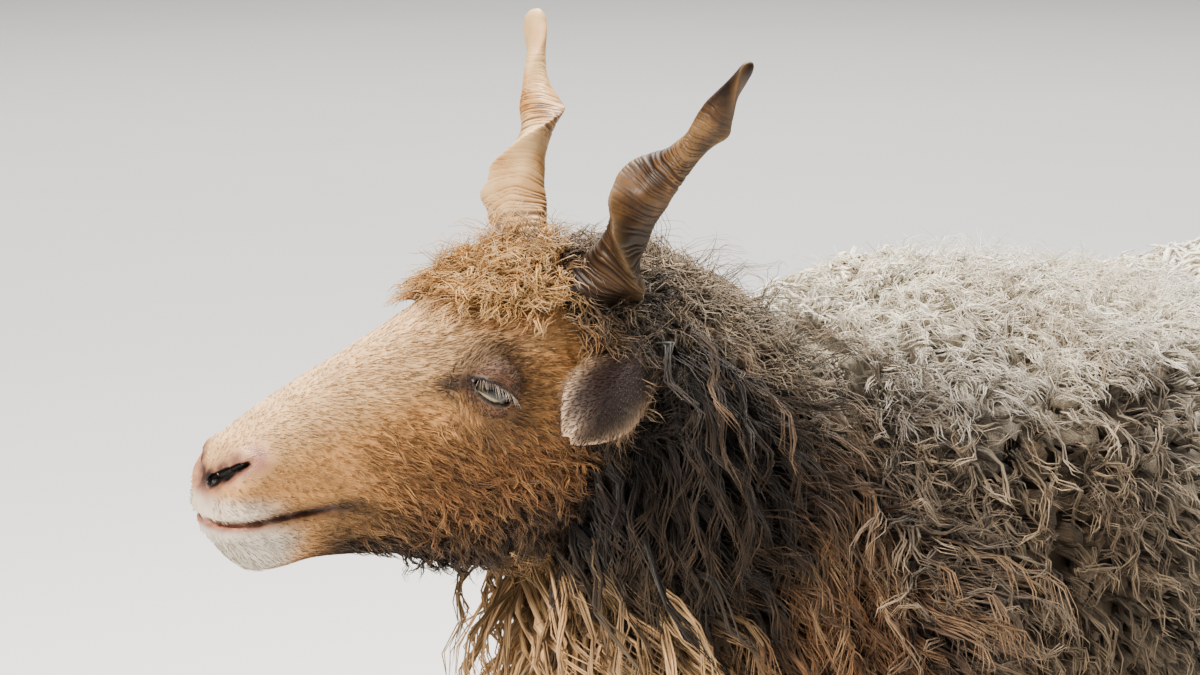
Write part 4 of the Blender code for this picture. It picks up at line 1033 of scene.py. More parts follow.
# Each foot has two claws of dark horn, worn flat below, with growth lines round them.
hoof_finish, hoof_shader, start = new_finish("hoof", 0.5)
place = start.node("ShaderNodeTexCoord", output="Object")
level = start.node("ShaderNodeSeparateXYZ", {0: place}, output=2)
uneven = start.node("ShaderNodeTexNoise", {"Vector": place, "Scale": 120.0, "Detail": 4.0})
wavy_level = level * 900.0 + uneven * 5.0
lines = level.math("SINE", wavy_level, 0.0)
shade = (uneven * 0.8 + lines * 0.1).mixed(tint(58, 46, 38), tint(128, 106, 84))
low_edge = level.node("ShaderNodeMapRange", {"Value": level, 1: 0.002, 2: 0.010, 3: 0.6, 4: 0.0})
feed(hoof_shader, "Base Color", low_edge.mixed(shade, tint(150, 132, 108)))
bumped(hoof_shader, lines * 0.5 + uneven * 0.6, 0.0006, 0.7)
for foot in ("fl", "fr", "hl", "hr"):
    for which in ("inner", "outer"):
        low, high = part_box(f"hoof_{foot}_{which}")
        middle, size = (low + high) / 2, high - low
        bpy.ops.object.select_all(action="DESELECT")
        bpy.ops.mesh.primitive_cube_add(size=1.0, location=middle)
        claw = bpy.context.object
        claw.name = f"claw_{foot}_{which}"
        claw.scale = size
        bpy.ops.object.transform_apply(location=True, rotation=False, scale=True)
        bpy.ops.object.mode_set(mode="EDIT")
        bpy.ops.mesh.select_all(action="SELECT")
        bpy.ops.mesh.subdivide(number_cuts=3)
        bpy.ops.mesh.select_all(action="DESELECT")
        bpy.ops.object.mode_set(mode="OBJECT")
        moved = points_of(claw)
        local = (moved - np.array(low)) / np.array(size)
        toe = 1 - local[:, 1]
        slope = 0.20 * local[:, 2] * size[1]
        moved[:, 1] += slope * toe
        narrow = 1 - 0.45 * np.clip(toe - 0.45, 0, 1) ** 1.5 - 0.10 * local[:, 2]
        moved[:, 0] = middle[0] + (moved[:, 0] - middle[0]) * narrow
        claw.data.vertices.foreach_set("co", moved.astype(np.float32).ravel())
        shaped(claw, "SUBSURF", levels=2, render_levels=2)
        rounded = points_of(claw)
        rounded[:, 2] = np.maximum(rounded[:, 2], low[2])
        rounded[:, 2] = low[2] + (rounded[:, 2] - rounded[:, 2].min()) * size[2] / np.ptp(rounded[:, 2])
        claw.data.vertices.foreach_set("co", rounded.astype(np.float32).ravel())
        claw.data.shade_smooth()
        claw.data.materials.append(hoof_finish)
        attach(claw, "root")
        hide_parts(f"hoof_{foot}_{which}")

# The coat grows in tufts and locks of mesh. A lock has a middle line that leaves the skin, bends
# along the lie and hangs by its weight; its strands wave about it together and close at its
# tip. Thick strands are streaked with fibres of the real width, and thin ones stand alone.
DOWN = np.array((0.0, 0.0, -1.0))
# A fibre's width, how far its streaks run, and the side of a strand's patch in the unwrap.
FIBRE, STREAK_RUN, PATCH = 0.0006, 0.016, 0.003
# Where each part of the body lies in the coat's unwrap: its corner, width and height.
TILES = {
    "head": (0.0, 0.62, 0.46, 0.36), "neck": (0.5, 0.62, 0.48, 0.36), "torso": (0.0, 0.0, 0.62, 0.60),
    "tail": (0.66, 0.46, 0.12, 0.12), "ears": (0.82, 0.46, 0.14, 0.12),
    "fl": (0.66, 0.0, 0.14, 0.20), "fr": (0.84, 0.0, 0.14, 0.20),
    "hl": (0.66, 0.23, 0.14, 0.20), "hr": (0.84, 0.23, 0.14, 0.20),
}
FULL = 1.0
wool_finish, wool_shader, start = new_finish("wool", 0.70, Specular_IOR_Level=0.2, Sheen_Weight=0.08)
base = start.node("ShaderNodeAttribute", output="Color", attribute_name="markings_light_and_shade")
fibre = start.node("ShaderNodeAttribute", output="Vector", attribute_name="fibre")
streak = start.node("ShaderNodeTexNoise", {"Vector": fibre, "Scale": 1.0, "Detail": 2.0})
clear_streak = streak.node("ShaderNodeMapRange", {"Value": streak, 1: 0.34, 2: 0.62})
shaded = clear_streak.mixed(tint(176, 169, 163), tint(255, 255, 255))
inputs = {"Factor": 1.0, 6: base, 7: shaded}
looks = {"data_type": "RGBA", "blend_type": "MULTIPLY"}
feed(wool_shader, "Base Color", base.node("ShaderNodeMix", inputs, output=2, **looks))
bumped(wool_shader, clear_streak, 0.0005, 0.5)


def unit(vectors):
    return vectors / np.maximum(np.linalg.norm(vectors, axis=-1, keepdims=True), 1e-9)


def scattered(rings, tile, number, draw, density=None, tree=skin_tree, reach=0.03):
    """Places spread over a row of rings by area, moved onto the skin, each with its normal
    and its place in the coat's unwrap. The density thins them out where it is below one."""
    a, b = rings[:-1], rings[1:]
    a_next, b_next = np.roll(a, -1, axis=1), np.roll(b, -1, axis=1)
    area = np.linalg.norm(np.cross(b_next - a, a_next - b), axis=2) / 2
    if density is not None:
        middles = (a + b + a_next + b_next) / 4
        area = area * density(middles.reshape(-1, 3)).reshape(area.shape)
    even = (np.arange(number) + draw.random(number)) / number
    chosen = np.minimum(np.searchsorted(np.cumsum(area) / area.sum(), even), area.size - 1)
    row, column = np.divmod(chosen, area.shape[1])
    u, v = draw.random(number)[:, None], draw.random(number)[:, None]
    low = a[row, column] * (1 - u) + a_next[row, column] * u
    high = b[row, column] * (1 - u) + b_next[row, column] * u
    start = low * (1 - v) + high * v
    spot = np.stack([(row + v[:, 0]) / len(a), (column + u[:, 0]) / area.shape[1]], axis=1)
    x, y, wide, tall = TILES[tile]
    spot = np.array((x, y)) + spot * np.array((wide, tall))
    roots, normals, found = np.empty_like(start), np.empty_like(start), np.zeros(number, bool)
    for k, point in enumerate(start):
        near_point, normal, _, away = tree.find_nearest(Vector(point))
        roots[k], normals[k], found[k] = near_point, normal, away < reach
    return roots[found], normals[found], spot[found]


def middle_lines(roots, normals, lies, length, lift, weight, clear, points, tree=skin_tree, rise=-0.0015):
    """Lines of locks, and the ways across and up from them at each of their points."""
    lies = unit(lies - normals * np.sum(lies * normals, axis=1, keepdims=True))
    lines = np.empty((len(roots), points, 3))
    here = roots + normals * rise
    lines[:, 0] = here
    step = (length / (points - 1))[:, None]
    for k in range(1, points):
        t = (k - 0.5) / (points - 1)
        way = unit(normals * lift * (1 - t) ** 1.5 + lies + DOWN * weight * t)
        here = here + way * step
        margin = clear * min(1.0, 3.0 * k / points)
        for i, point in enumerate(here):
            near_point, normal, _, away = tree.find_nearest(Vector(point))
            if away < margin or (Vector(point) - near_point).dot(normal) < 0:
                here[i] = near_point + normal * margin
        lines[:, k] = here
    tangents = unit(np.gradient(lines, axis=1))
    across = np.empty_like(lines)
    sideways = np.cross(lies, normals)
    for k in range(points):
        tangent = tangents[:, k]
        sideways = unit(sideways - tangent * np.sum(sideways * tangent, axis=1, keepdims=True))
        across[:, k] = sideways
    return lines, across, np.cross(across, tangents)


def combed(lock, strands, draw, spread, gather, wave, turns, frizz, twist=0.0):
    """Strands about each middle line, as wide as the spread at its root and gathered at its
    tip, or spread further by a gather below nought, all waving as one lock with some frizz."""
    lines, across, upward = (np.repeat(part, strands, axis=0) for part in lock)
    number, points = lines.shape[:2]
    t = np.linspace(0, 1, points)[None, :, None]
    angle = draw.uniform(0, 2 * math.pi, number)[:, None, None] + 2 * math.pi * twist * t
    away = np.sqrt(draw.random(number))[:, None, None] * spread
    close = 1 - gather * t**0.8
    phase = np.repeat(draw.uniform(0, 2 * math.pi, number // strands), strands)[:, None, None]
    handed = np.repeat(draw.choice((-1.0, 1.0), number // strands), strands)[:, None, None]
    pace = np.repeat(draw.uniform(0.7, 1.3, number // strands), strands)[:, None, None]
    own = draw.normal(0, frizz, number)[:, None, None]
    swing = phase + own + 2 * math.pi * turns * pace * t * handed
    size = wave * np.minimum(4 * t, 1) * (0.45 + 0.55 * t) * (1 + 0.3 * own)
    sideways = away * close * np.cos(angle) + size * np.cos(swing)
    lifted = away * close * np.sin(angle) * 0.6 + size * 0.7 * np.sin(swing) + np.abs(size) * 0.5
    ends = 1 - 0.25 * draw.random(number)[:, None, None] * t
    base = lines[:, :1]
    return (base + (lines - base) * ends) + across * sideways + upward * lifted, across, upward


def wool_object(name, slot, strands, width, colours, spots, draw, corners=3, flat=0.75, blunt=False):
    """One mesh of closed tapering strands. The colours are one for each point of each line,
    and each strand's faces fill a small patch of the coat's unwrap at its root's place."""
    lines, across, upward = strands
    number, points = lines.shape[:2]
    rings = points - 1
    t = np.linspace(0, 1, points)[:rings]
    if blunt:
        taper = np.sqrt(np.clip(1 - (1.5 * t - 0.55) ** 2, 0.02, 1))
    else:
        taper = 1 - 0.80 * t**1.8
    radius = (np.broadcast_to(width, number)[:, None] / 2 * taper[None, :])[:, :, None]
    inner = rings * corners
    shell = np.empty((number, inner + 1, 3), np.float32)
    fibres = np.empty((number, inner + 1, 3), np.float32)
    own = draw.uniform(0, 400, (number, 1, 2))
    steps = np.linalg.norm(np.diff(lines, axis=1, prepend=lines[:, :1]), axis=2)
    run = np.cumsum(steps, axis=1) / STREAK_RUN
    for k in range(corners):
        turn = 2 * math.pi * k / corners
        side, rise = radius * math.cos(turn), radius * math.sin(turn)
        about = across[:, :rings] * side + upward[:, :rings] * rise * flat
        shell[:, k:inner:corners] = lines[:, :rings] + about
        fibres[:, k:inner:corners, :2] = own + np.concatenate([side, rise], axis=2) / FIBRE
        fibres[:, k:inner:corners, 2] = run[:, :rings]
    shell[:, -1] = lines[:, -1]
    fibres[:, -1] = np.concatenate([own[:, 0], run[:, -1:]], axis=1)
    column = np.arange(corners)
    ahead = (column + 1) % corners
    row = np.arange(rings - 1)[:, None] * corners
    quads = np.stack([row + column, row + ahead, row + corners + ahead, row + corners + column], axis=2)
    last = (rings - 1) * corners
    tips = np.stack([last + column, last + ahead, np.full(corners, inner)], axis=1)
    quads = quads.reshape(-1, 4)
    one = np.concatenate([quads.ravel(), tips.ravel(), column[::-1]])
    sizes = np.concatenate([np.full(len(quads), 4), np.full(len(tips), 3), [corners]])
    loops = (one[None, :] + np.arange(number)[:, None] * (inner + 1)).ravel()
    starts = np.concatenate([[0], np.cumsum(np.tile(sizes, number))[:-1]])
    mesh = bpy.data.meshes.new(name)
    mesh.vertices.add(number * (inner + 1))
    mesh.vertices.foreach_set("co", shell.ravel())
    mesh.loops.add(len(loops))
    mesh.loops.foreach_set("vertex_index", loops.astype(np.int32))
    mesh.polygons.add(len(starts))
    mesh.polygons.foreach_set("loop_start", starts.astype(np.int32))
    mesh.update(calc_edges=True)
    mesh.shade_smooth()
    turn = 2 * math.pi * column / corners
    patch_x = np.tile(np.cos(turn), rings) * 0.35
    patch_y = np.repeat(np.linspace(-0.5, 0.45, rings), corners)
    within = np.concatenate([np.stack([patch_x, patch_y], axis=1), [[0.0, 0.5]]])
    at = (spots[:, None, :] + within[None] * PATCH).reshape(-1, 2)[loops]
    mesh.uv_layers.new(name="OFBake").data.foreach_set("uv", at.astype(np.float32).ravel())
    shades = np.ones((number, inner + 1, 4), np.float32)
    shades[:, :-1, :3] = np.repeat(colours[:, :rings], corners, axis=1)
    shades[:, -1, :3] = colours[:, -1]
    made = bpy.data.objects.new(name, mesh)
    bpy.context.scene.collection.objects.link(made)
    paint_points(made, "markings_light_and_shade", "FLOAT_COLOR", shades)
    paint_points(made, "fibre", "FLOAT_VECTOR", fibres)
    mesh.materials.append(wool_finish)
    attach(made, "root")
    return made


def coloured_and_shaded(colour, points, draw, strands, root=0.6, tip=CREAM, tip_share=0.5, spread=0.14, lock_spread=0.16):
    """Colours along each strand: darker at the root by painted shade, then its colour, then a share of the
    tip's.
    """
    colour = np.repeat(colour, strands, axis=0)
    number = len(colour)
    own = 1 + spread * draw.normal(size=(number, 1, 1))
    lock = np.repeat(1 + lock_spread * draw.normal(size=(number // strands, 1, 1)), strands, axis=0)
    t = np.linspace(0, 1, points)[None, :, None]
    # Painted shade: each strand darkens towards its root, by the root's share.
    shade = root + (1 - root) * np.clip(t * 1.8, 0, 1) ** 1.3
    bleach = np.repeat(draw.random((number // strands, 1, 1)) ** 1.2, strands, axis=0)
    ends = np.clip((t - 0.35) / 0.65, 0, 1) ** 1.4 * tip_share * np.clip(bleach * 1.5, 0, 1)
    ends = ends * np.clip(colour.mean(axis=1) / 0.07, 0.12, 1)[:, None, None]
    along = colour[:, None, :] * np.clip(own * lock, 0.4, 1.7) * shade
    return np.clip(along * (1 - ends) + np.array(tip) * ends, 0.003, 0.92)


def grown(name, slot, rings, tile, number, seed, density, lie_of, dye, style, tree=skin_tree):
    """One piece of the coat: so many locks of a style over a part of the skin."""
    draw = np.random.default_rng(seed)
    roots, normals, spots = scattered(rings, tile, int(number * FULL), draw, density, tree)
    low, high = style["length"]
    length, points, strands = draw.uniform(low, high, len(roots)), style["points"], style.get("strands", 1)
    lies = lie_of(roots, normals, draw)
    shape = [style[key] for key in ("lift", "weight", "clear")]
    lock = middle_lines(roots, normals, lies, length, *shape, points, tree, style.get("rise", -0.0015))
    curl = [style[key] for key in ("spread", "gather", "wave", "turns", "frizz")]
    strand = combed(lock, strands, draw, *curl, style.get("twist", 0.0))
    colours = coloured_and_shaded(markings_light_and_shade(roots), points, draw, strands, **dye)
    widths = style["width"] * draw.uniform(0.75, 1.25, len(roots) * strands)
    spots = np.repeat(spots, strands, axis=0)
    looks = {key: style[key] for key in ("corners", "flat", "blunt") if key in style}
    return wool_object(name, slot, strand, widths, colours, spots, draw, **looks)


# Short hair covers the face in small flat tufts that lie back from the nose, part about the
# eyes and lengthen towards the cheeks.
EYE_CLEAR = 16.5
hair_places = all_head.copy()
for flip in FLIP.values():
    away = hair_places - np.array(EYE_CENTRE) * flip
    gap = np.linalg.norm(away, axis=-1, keepdims=True)
    pushed = np.array(EYE_CENTRE) * flip + away / gap * EYE_CLEAR
    hair_places = np.where(gap < EYE_CLEAR, pushed, hair_places)
head_grid = placed(hair_places)


def face_density(points):
    places = in_head(points)
    hidden = np.clip(1 - bare_skin(places)[:, 0] * 1.3, 0.02, 1) * np.where(in_opening(places), 0, 1)
    under_wool = 1 - 0.8 * share(places[:, 1], 175, 215)[:, 0]
    return hidden * share(places[:, 1], 262, 240)[:, 0] * under_wool


def one_half(density, side):
    """A density on one side of the head only."""
    return lambda points: density(points) * (in_head(points)[:, 0] * side > 0)


def face_lie(places):
    """The way the hair lies, in the head's own frame."""
    side = np.clip(places[:, :1] / 12, -1, 1)
    back, up = places[:, 1], places[:, 2]
    lie = np.concatenate([side * 0.25, np.ones((len(places), 1)), np.zeros((len(places), 1))], axis=1)
    lie[:, 2] = -0.28 * np.clip((60 - up) / 60, 0, 1)
    from_eye = places - np.array(EYE_CENTRE) * np.where(places[:, :1] < 0, MIRROR, FLIP[1])
    from_eye[:, 0] *= 0.1
    pull = near(places, (50, 137, 38), 24)
    lie = lie * (1 - 0.75 * pull) + unit(from_eye) * pull
    lie[:, 2] += -0.9 * (share(back, 45, 25) * share(up, -38, -50))[:, 0]
    return lie


for side, letter in SIDES:
    draw = np.random.default_rng(100 + side)
    half = one_half(face_density, side)
    number = int((11000 if side > 0 else 4000) * FULL)
    roots, normals, spots = scattered(head_grid, "head", number, draw, half)
    places = in_head(roots)
    lies = turned(face_lie(places) + draw.normal(0, 0.15, places.shape))
    grow = share(places[:, 1], 20, 130)[:, 0] + 0.7 * share(places[:, 2], 60, 90)[:, 0]
    grow += 0.6 * (share(places[:, 1], 50, 20) * share(places[:, 2], -36, -50))[:, 0]
    grow += 0.9 * (share(places[:, 1], 78, 120) * share(places[:, 2], 12, -12))[:, 0]
    grow += 0.8 * (share(places[:, 1], 40, 66) * share(places[:, 2], -40, -54))[:, 0]
    grow *= 1 - 0.35 * near(places, (50, 141, 44), 20)[:, 0]
    length = (0.0040 + 0.0052 * grow) * draw.uniform(0.75, 1.3, len(roots))
    lock = middle_lines(roots, normals, lies, length, 0.42, 0.0, 0.0006, 3)
    about_eye = near(places, (50, 141, 42), 24)
    dark = draw.random((len(roots), 1)) < 0.15 + 0.3 * about_eye
    shade = np.where(dark, 0.62, 1.06 + 0.5 * about_eye)
    colours = coloured_and_shaded(markings_light_and_shade(roots) * shade, 3, draw, 1, 1.0, BRIDGE, 0.3, 0.15, 0.0)
    width = 0.0007 if side > 0 else 0.0010
    wool_object("face_hair_" + letter, "skin", lock, width, colours, spots, draw)


def front_cheek(points):
    """One where the face's hair grows longer and waves, from the mouth's corner to the ear."""
    places = in_head(points)
    back, up = places[:, 1], places[:, 2]
    field = share(back, 66, 92) * share(back, 200, 176) * share(up - (back - 80) * 0.12, 22, 2)
    return (field * share(up, -60, -50))[:, 0] * (1 - near(places, (50, 141, 38), 22)[:, 0])


WAVY = {
    "length": (0.011, 0.019), "lift": 0.45, "weight": 0.25, "clear": 0.0012, "spread": 0.0022,
    "gather": 0.5, "wave": 0.0012, "turns": 1.0, "frizz": 0.3, "width": 0.0007, "points": 5,
    "strands": 4,
}
WAVY_COLOURS_AND_SHADE = {
    "root": 0.42, "tip": tint(214, 170, 112), "tip_share": 0.6, "spread": 0.18, "lock_spread": 0.26,
}


def wavy_lie(roots, normals, draw):
    drift = draw.normal(0, 0.18, roots.shape)
    return turned(face_lie(in_head(roots)) + drift + np.array((0, 0, -0.25)))


for side, letter, number in ((1, "l", 820), (-1, "r", 260)):
    grown("wavy_cheek_" + letter, "skin", head_grid, "head", number, 190 + side,
          one_half(front_cheek, side), wavy_lie, WAVY_COLOURS_AND_SHADE, WAVY)

# The cheeks, the jaw and the throat latch carry longer curling hair, dark underneath, partly painted
# shade, with warm ends; the forelock is a golden crimped cushion; the poll is matted and grey-brown.


def cheek_density(points):
    places = in_head(points)
    back, up = places[:, 1], places[:, 2]
    low_cheek = share(back, 100, 145) * share(up - (back - 140) * 0.35, 6, -24) * share(back, 250, 228)
    low_cheek *= share(up, -70, -52)
    jaw = share(back, 110, 140) * share(up, -40, -54) * share(back, 240, 220) * 0.3
    return np.maximum(low_cheek, jaw)[:, 0]


def outward_way(x, out, back, up):
    """Ways that lead out to the place's own side of the body, back and up, by these amounts."""
    return np.stack([np.sign(x) * out, np.full(len(x), back), np.full(len(x), up)], axis=1)


def cheek_lie(roots, normals, draw):
    return turned(np.array((0.0, 0.55, -0.75)) + draw.normal(0, 0.35, roots.shape))


def forelock_density(points):
    places = in_head(points)
    side, back, up = np.abs(places[:, 0]), places[:, 1], places[:, 2]
    return (share(back, 130, 144) * share(back, 206, 192) * share(up, 68, 80) * share(side, 46, 38))[:, 0]


def forelock_lie(roots, normals, draw):
    places = in_head(roots)
    way = outward_way(places[:, 0], 0.25, -0.7, -0.1)
    return turned(way + draw.normal(0, 0.5, places.shape))


def poll_density(points):
    places = in_head(points)
    back, up = places[:, 1], places[:, 2]
    crown = share(back, 188, 202) * share(up, 48, 62)
    behind = share(back, 192, 204) * share(up, 0, 16)
    return np.maximum(crown, behind)[:, 0]


def poll_lie(roots, normals, draw):
    places = in_head(roots)
    way = outward_way(places[:, 0], 0.6, 0.4, -0.3)
    return turned(way + draw.normal(0, 0.6, places.shape))


CHEEK_CURL = {
    "length": (0.015, 0.030), "lift": 0.6, "weight": 0.4, "clear": 0.0015, "spread": 0.0030,
    "gather": 0.6, "wave": 0.0024, "turns": 1.3, "frizz": 0.4, "width": 0.0009, "points": 6,
    "twist": 0.6,
}
FORELOCK_CURL = {
    "length": (0.020, 0.034), "lift": 1.5, "weight": 0.10, "clear": 0.002, "spread": 0.0034,
    "gather": 0.2, "wave": 0.0024, "turns": 1.5, "frizz": 0.9, "width": 0.0009, "points": 6,
    "strands": 5,
}
POLL_CURL = {
    **FORELOCK_CURL, "length": (0.024, 0.040), "wave": 0.0030, "spread": 0.0046, "width": 0.0011,
}
FUZZ = {
    "length": (0.018, 0.034), "lift": 1.6, "weight": 0.1, "clear": 0.004, "spread": 0.0045,
    "gather": -1.4, "wave": 0.0030, "turns": 1.1, "frizz": 1.2, "width": 0.0005, "points": 5,
    "strands": 5,
}
CHEEK_COLOURS_AND_SHADE = {"root": 0.35, "tip": tint(204, 160, 108), "tip_share": 0.62, "lock_spread": 0.24}
FORELOCK_COLOURS_AND_SHADE = {"root": 0.5, "tip": tint(236, 206, 152), "tip_share": 0.7}
POLL_COLOURS_AND_SHADE = {"root": 0.5, "tip": tint(206, 184, 152), "tip_share": 0.65}
for side, letter, number, strands in ((1, "l", 560, 5), (-1, "r", 200, 4)):
    grown("cheek_hair_" + letter, "skin", head_grid, "head", number, 200 + side,
          one_half(cheek_density, side), cheek_lie, CHEEK_COLOURS_AND_SHADE, {**CHEEK_CURL, "strands": strands})
grown("forelock", "skin", head_grid, "head", 440, 210, forelock_density, forelock_lie,
      FORELOCK_COLOURS_AND_SHADE, FORELOCK_CURL)
grown("poll_wool", "neck_wool", head_grid, "head", 480, 211, poll_density, poll_lie,
      POLL_COLOURS_AND_SHADE, POLL_CURL)
grown("poll_fuzz", "neck_wool", head_grid, "head", 240, 212,
      lambda points: np.maximum(poll_density(points), forelock_density(points)), poll_lie,
      {**POLL_COLOURS_AND_SHADE, "tip": CREAM, "tip_share": 0.8}, {**FUZZ, "rise": 0.008})

# The neck hangs with long wavy ringlets, near black between them, dark wool with painted shade, and
# sun-bleached at their ends. Its crest is shorter, matted and greyer.
neck_grid = neck_rings(50, 56)


def crest(points):
    """One along the upper edge of the neck, falling off down its sides."""
    return share(neck_top(points), 0.020, 0.065)[:, 0]


def neck_lie(roots, normals, draw):
    fall = np.array(NECK_ALONG) * -0.70 + DOWN * 0.5
    high = crest(roots)[:, None]
    drift = np.concatenate([ripple(roots, 0.09, seed) for seed in (51, 52, 53)], axis=1) * 0.75
    return np.tile(fall, (len(roots), 1)) + drift + draw.normal(0, 1, roots.shape) * (0.22 + 0.45 * high)


def neck_density(points, front=1.06):
    along = neck_share(points)
    on_neck = share(along, -0.12, 0.0) * share(along, front, front - 0.1)
    return on_neck[:, 0] * ahead_of_fleece(points - np.array((0, 0.01, 0)))


def neck_half(side, low=0.0, high=1.0):
    """Places on one side of the neck, where the crest's share is between low and high."""
    def density(points):
        on_crest = crest(points)
        inside = (on_crest >= low) & (on_crest <= high)
        return neck_density(points) * inside * ((points - np.array(SHIFT))[:, 0] * side > -0.002) + 1e-9
    return density


RINGLET = {
    "length": (0.065, 0.115), "lift": 1.1, "weight": 1.1, "clear": 0.006, "spread": 0.0036,
    "gather": 0.70, "wave": 0.0076, "turns": 1.55, "frizz": 0.26, "width": 0.0017, "points": 9,
    "twist": 0.8,
}
UNDER = {
    "length": (0.032, 0.052), "lift": 1.0, "weight": 0.9, "clear": 0.005, "spread": 0.002,
    "gather": 0.5, "wave": 0.005, "turns": 1.2, "frizz": 0.3, "width": 0.010, "points": 6,
    "corners": 5, "flat": 0.6,
}
CREST = {
    "length": (0.020, 0.036), "lift": 1.3, "weight": 0.2, "clear": 0.007, "spread": 0.0052,
    "gather": -0.3, "wave": 0.0042, "turns": 1.6, "frizz": 1.1, "width": 0.0012, "points": 6,
    "strands": 5,
}
RINGLET_COLOURS_AND_SHADE = {
    "root": 0.16, "tip": NECK_TIP, "tip_share": 0.85, "lock_spread": 0.30, "spread": 0.22,
}


def under_density(points):
    """The underwool fills the sides of the neck, below its crest and behind its front end."""
    bare_front = share(neck_share(points), 0.60, 0.75)[:, 0]
    return neck_density(points) * (1 - np.maximum(crest(points), bare_front))


def throat_density(points):
    return neck_density(points) * share(neck_top(points), -0.06, -0.11)[:, 0]


# The underwool is a dark layer that stands for the shade between the ringlets, over the neck's dark wool.
grown("neck_underwool", "neck_wool", neck_grid, "neck", 600, 299, under_density,
      neck_lie, {"root": 0.15, "tip_share": 0.0}, UNDER)
# The side that the photograph shows has many fine strands, and the other fewer thick ones.
RINGLETS = (
    (1, "l", 450, 225, {"strands": 7, "width": 0.0017, "points": 9}),
    (-1, "r", 330, 82, {"strands": 2, "width": 0.0050, "points": 8}),
)
for side, letter, number, stray, strands in RINGLETS:
    grown("neck_ringlets_" + letter, "neck_wool", neck_grid, "neck", number, 300 + side,
          neck_half(side, 0.0, 0.12), neck_lie, RINGLET_COLOURS_AND_SHADE, {**RINGLET, **strands})
    grown("neck_fuzz_" + letter, "neck_wool", neck_grid, "neck", stray, 305 + side,
          neck_half(side), neck_lie, {**RINGLET_COLOURS_AND_SHADE, "root": 0.7},
          {**FUZZ, "length": (0.03, 0.055), "rise": 0.014})
grown("throat_locks", "neck_wool", neck_grid, "neck", 230, 309, throat_density,
      neck_lie, {**RINGLET_COLOURS_AND_SHADE, "root": 0.4, "tip": tint(226, 184, 128)},
      {**RINGLET, "lift": 3.4, "length": (0.090, 0.140), "strands": 5, "width": 0.0022, "points": 8})
# The crest's wool runs on over the back of the skull, so its places reach past the neck's end.
neck_core = neck_grid.mean(axis=1, keepdims=True)
crest_grid = neck_core + (neck_grid - neck_core) * 1.25
step = crest_grid[-1] - crest_grid[-3]
crest_grid = np.stack(list(crest_grid) + [crest_grid[-1] + step * k for k in range(1, 5)])
grown("neck_crest", "neck_wool", crest_grid, "neck", 780, 310,
      lambda points: neck_density(points, 1.20) * (share(crest(points), 0.0, 0.1)[:, 0] + 0.01), neck_lie,
      {"root": 0.55, "tip": CREAM, "tip_share": 0.7}, CREST)

# The fleece is fine, dense and crimped: cream and open over the back, greyer and curled over
# the shoulders, hanging in locks down the flanks. Blunt staples fill it, curls and stray
# fibres cover them.
torso_grid = torso_rings(70, 72)


def on_torso(points):
    place = points - np.array(SHIFT)
    return place[:, 0], place[:, 1], place[:, 2] - TORSO_LEVEL


def fleece_lie(roots, normals, draw):
    x, along, level = on_torso(roots)
    high = share(level, 0.03, 0.11)
    fall = outward_way(x, 0.5, 0.45, -0.9)
    fall += np.concatenate([ripple(roots, 0.10, seed) for seed in (61, 62, 63)], axis=1) * 0.7
    return fall * (1 - 0.6 * high) + draw.normal(0, 1.0, roots.shape) * (0.35 + 0.65 * high)


def fleece_part(front, back, low, high, side=0):
    """Places on the torso between these bounds, on both sides or one."""
    def density(points):
        x, along, level = on_torso(points)
        inside = (along >= front) & (along < back) & (level >= low) & (level < high)
        if side:
            inside &= x * side > -0.01
        return inside.astype(float) * share(level, -0.145, -0.12)[:, 0] + 1e-9
    return density


def staple_density(points):
    behind_neck = 1 - ahead_of_fleece(points + np.array((0, -0.02, 0)))
    return fleece_part(-1, 1, -1, 1)(points) * behind_neck + 1e-9


STAPLE = {
    "length": (0.024, 0.034), "lift": 1.4, "weight": 0.3, "clear": 0.011, "spread": 0.0,
    "gather": 0.0, "wave": 0.004, "turns": 1.0, "frizz": 0.5, "width": 0.017, "points": 5,
    "corners": 5, "flat": 0.8, "blunt": True,
}
CURL = {
    "length": (0.020, 0.034), "lift": 1.1, "weight": 0.1, "clear": 0.024, "spread": 0.0036,
    "gather": 0.3, "wave": 0.0034, "turns": 1.1, "frizz": 0.9, "width": 0.0013, "points": 5,
    "rise": 0.024,
}
HANGING = {
    "length": (0.036, 0.060), "lift": 0.9, "weight": 0.6, "clear": 0.018, "spread": 0.0034,
    "gather": 0.45, "wave": 0.0060, "turns": 1.4, "frizz": 0.35, "width": 0.0018, "points": 7,
    "rise": 0.016, "twist": 0.8,
}
CREAM_COLOURS_AND_SHADE = {
    "root": 0.80, "tip": tint(252, 248, 240), "tip_share": 0.6, "spread": 0.08, "lock_spread": 0.08,
}
GREY_COLOURS_AND_SHADE = {"root": 0.38, "tip": tint(204, 178, 144), "tip_share": 0.75, "lock_spread": 0.24}
# The staples darken towards their roots, painted shade deep in the fleece.
grown("fleece_staples", "fleece", torso_grid, "torso", 1900, 400, staple_density,
      fleece_lie, {"root": 0.32, "tip_share": 0.0}, STAPLE)
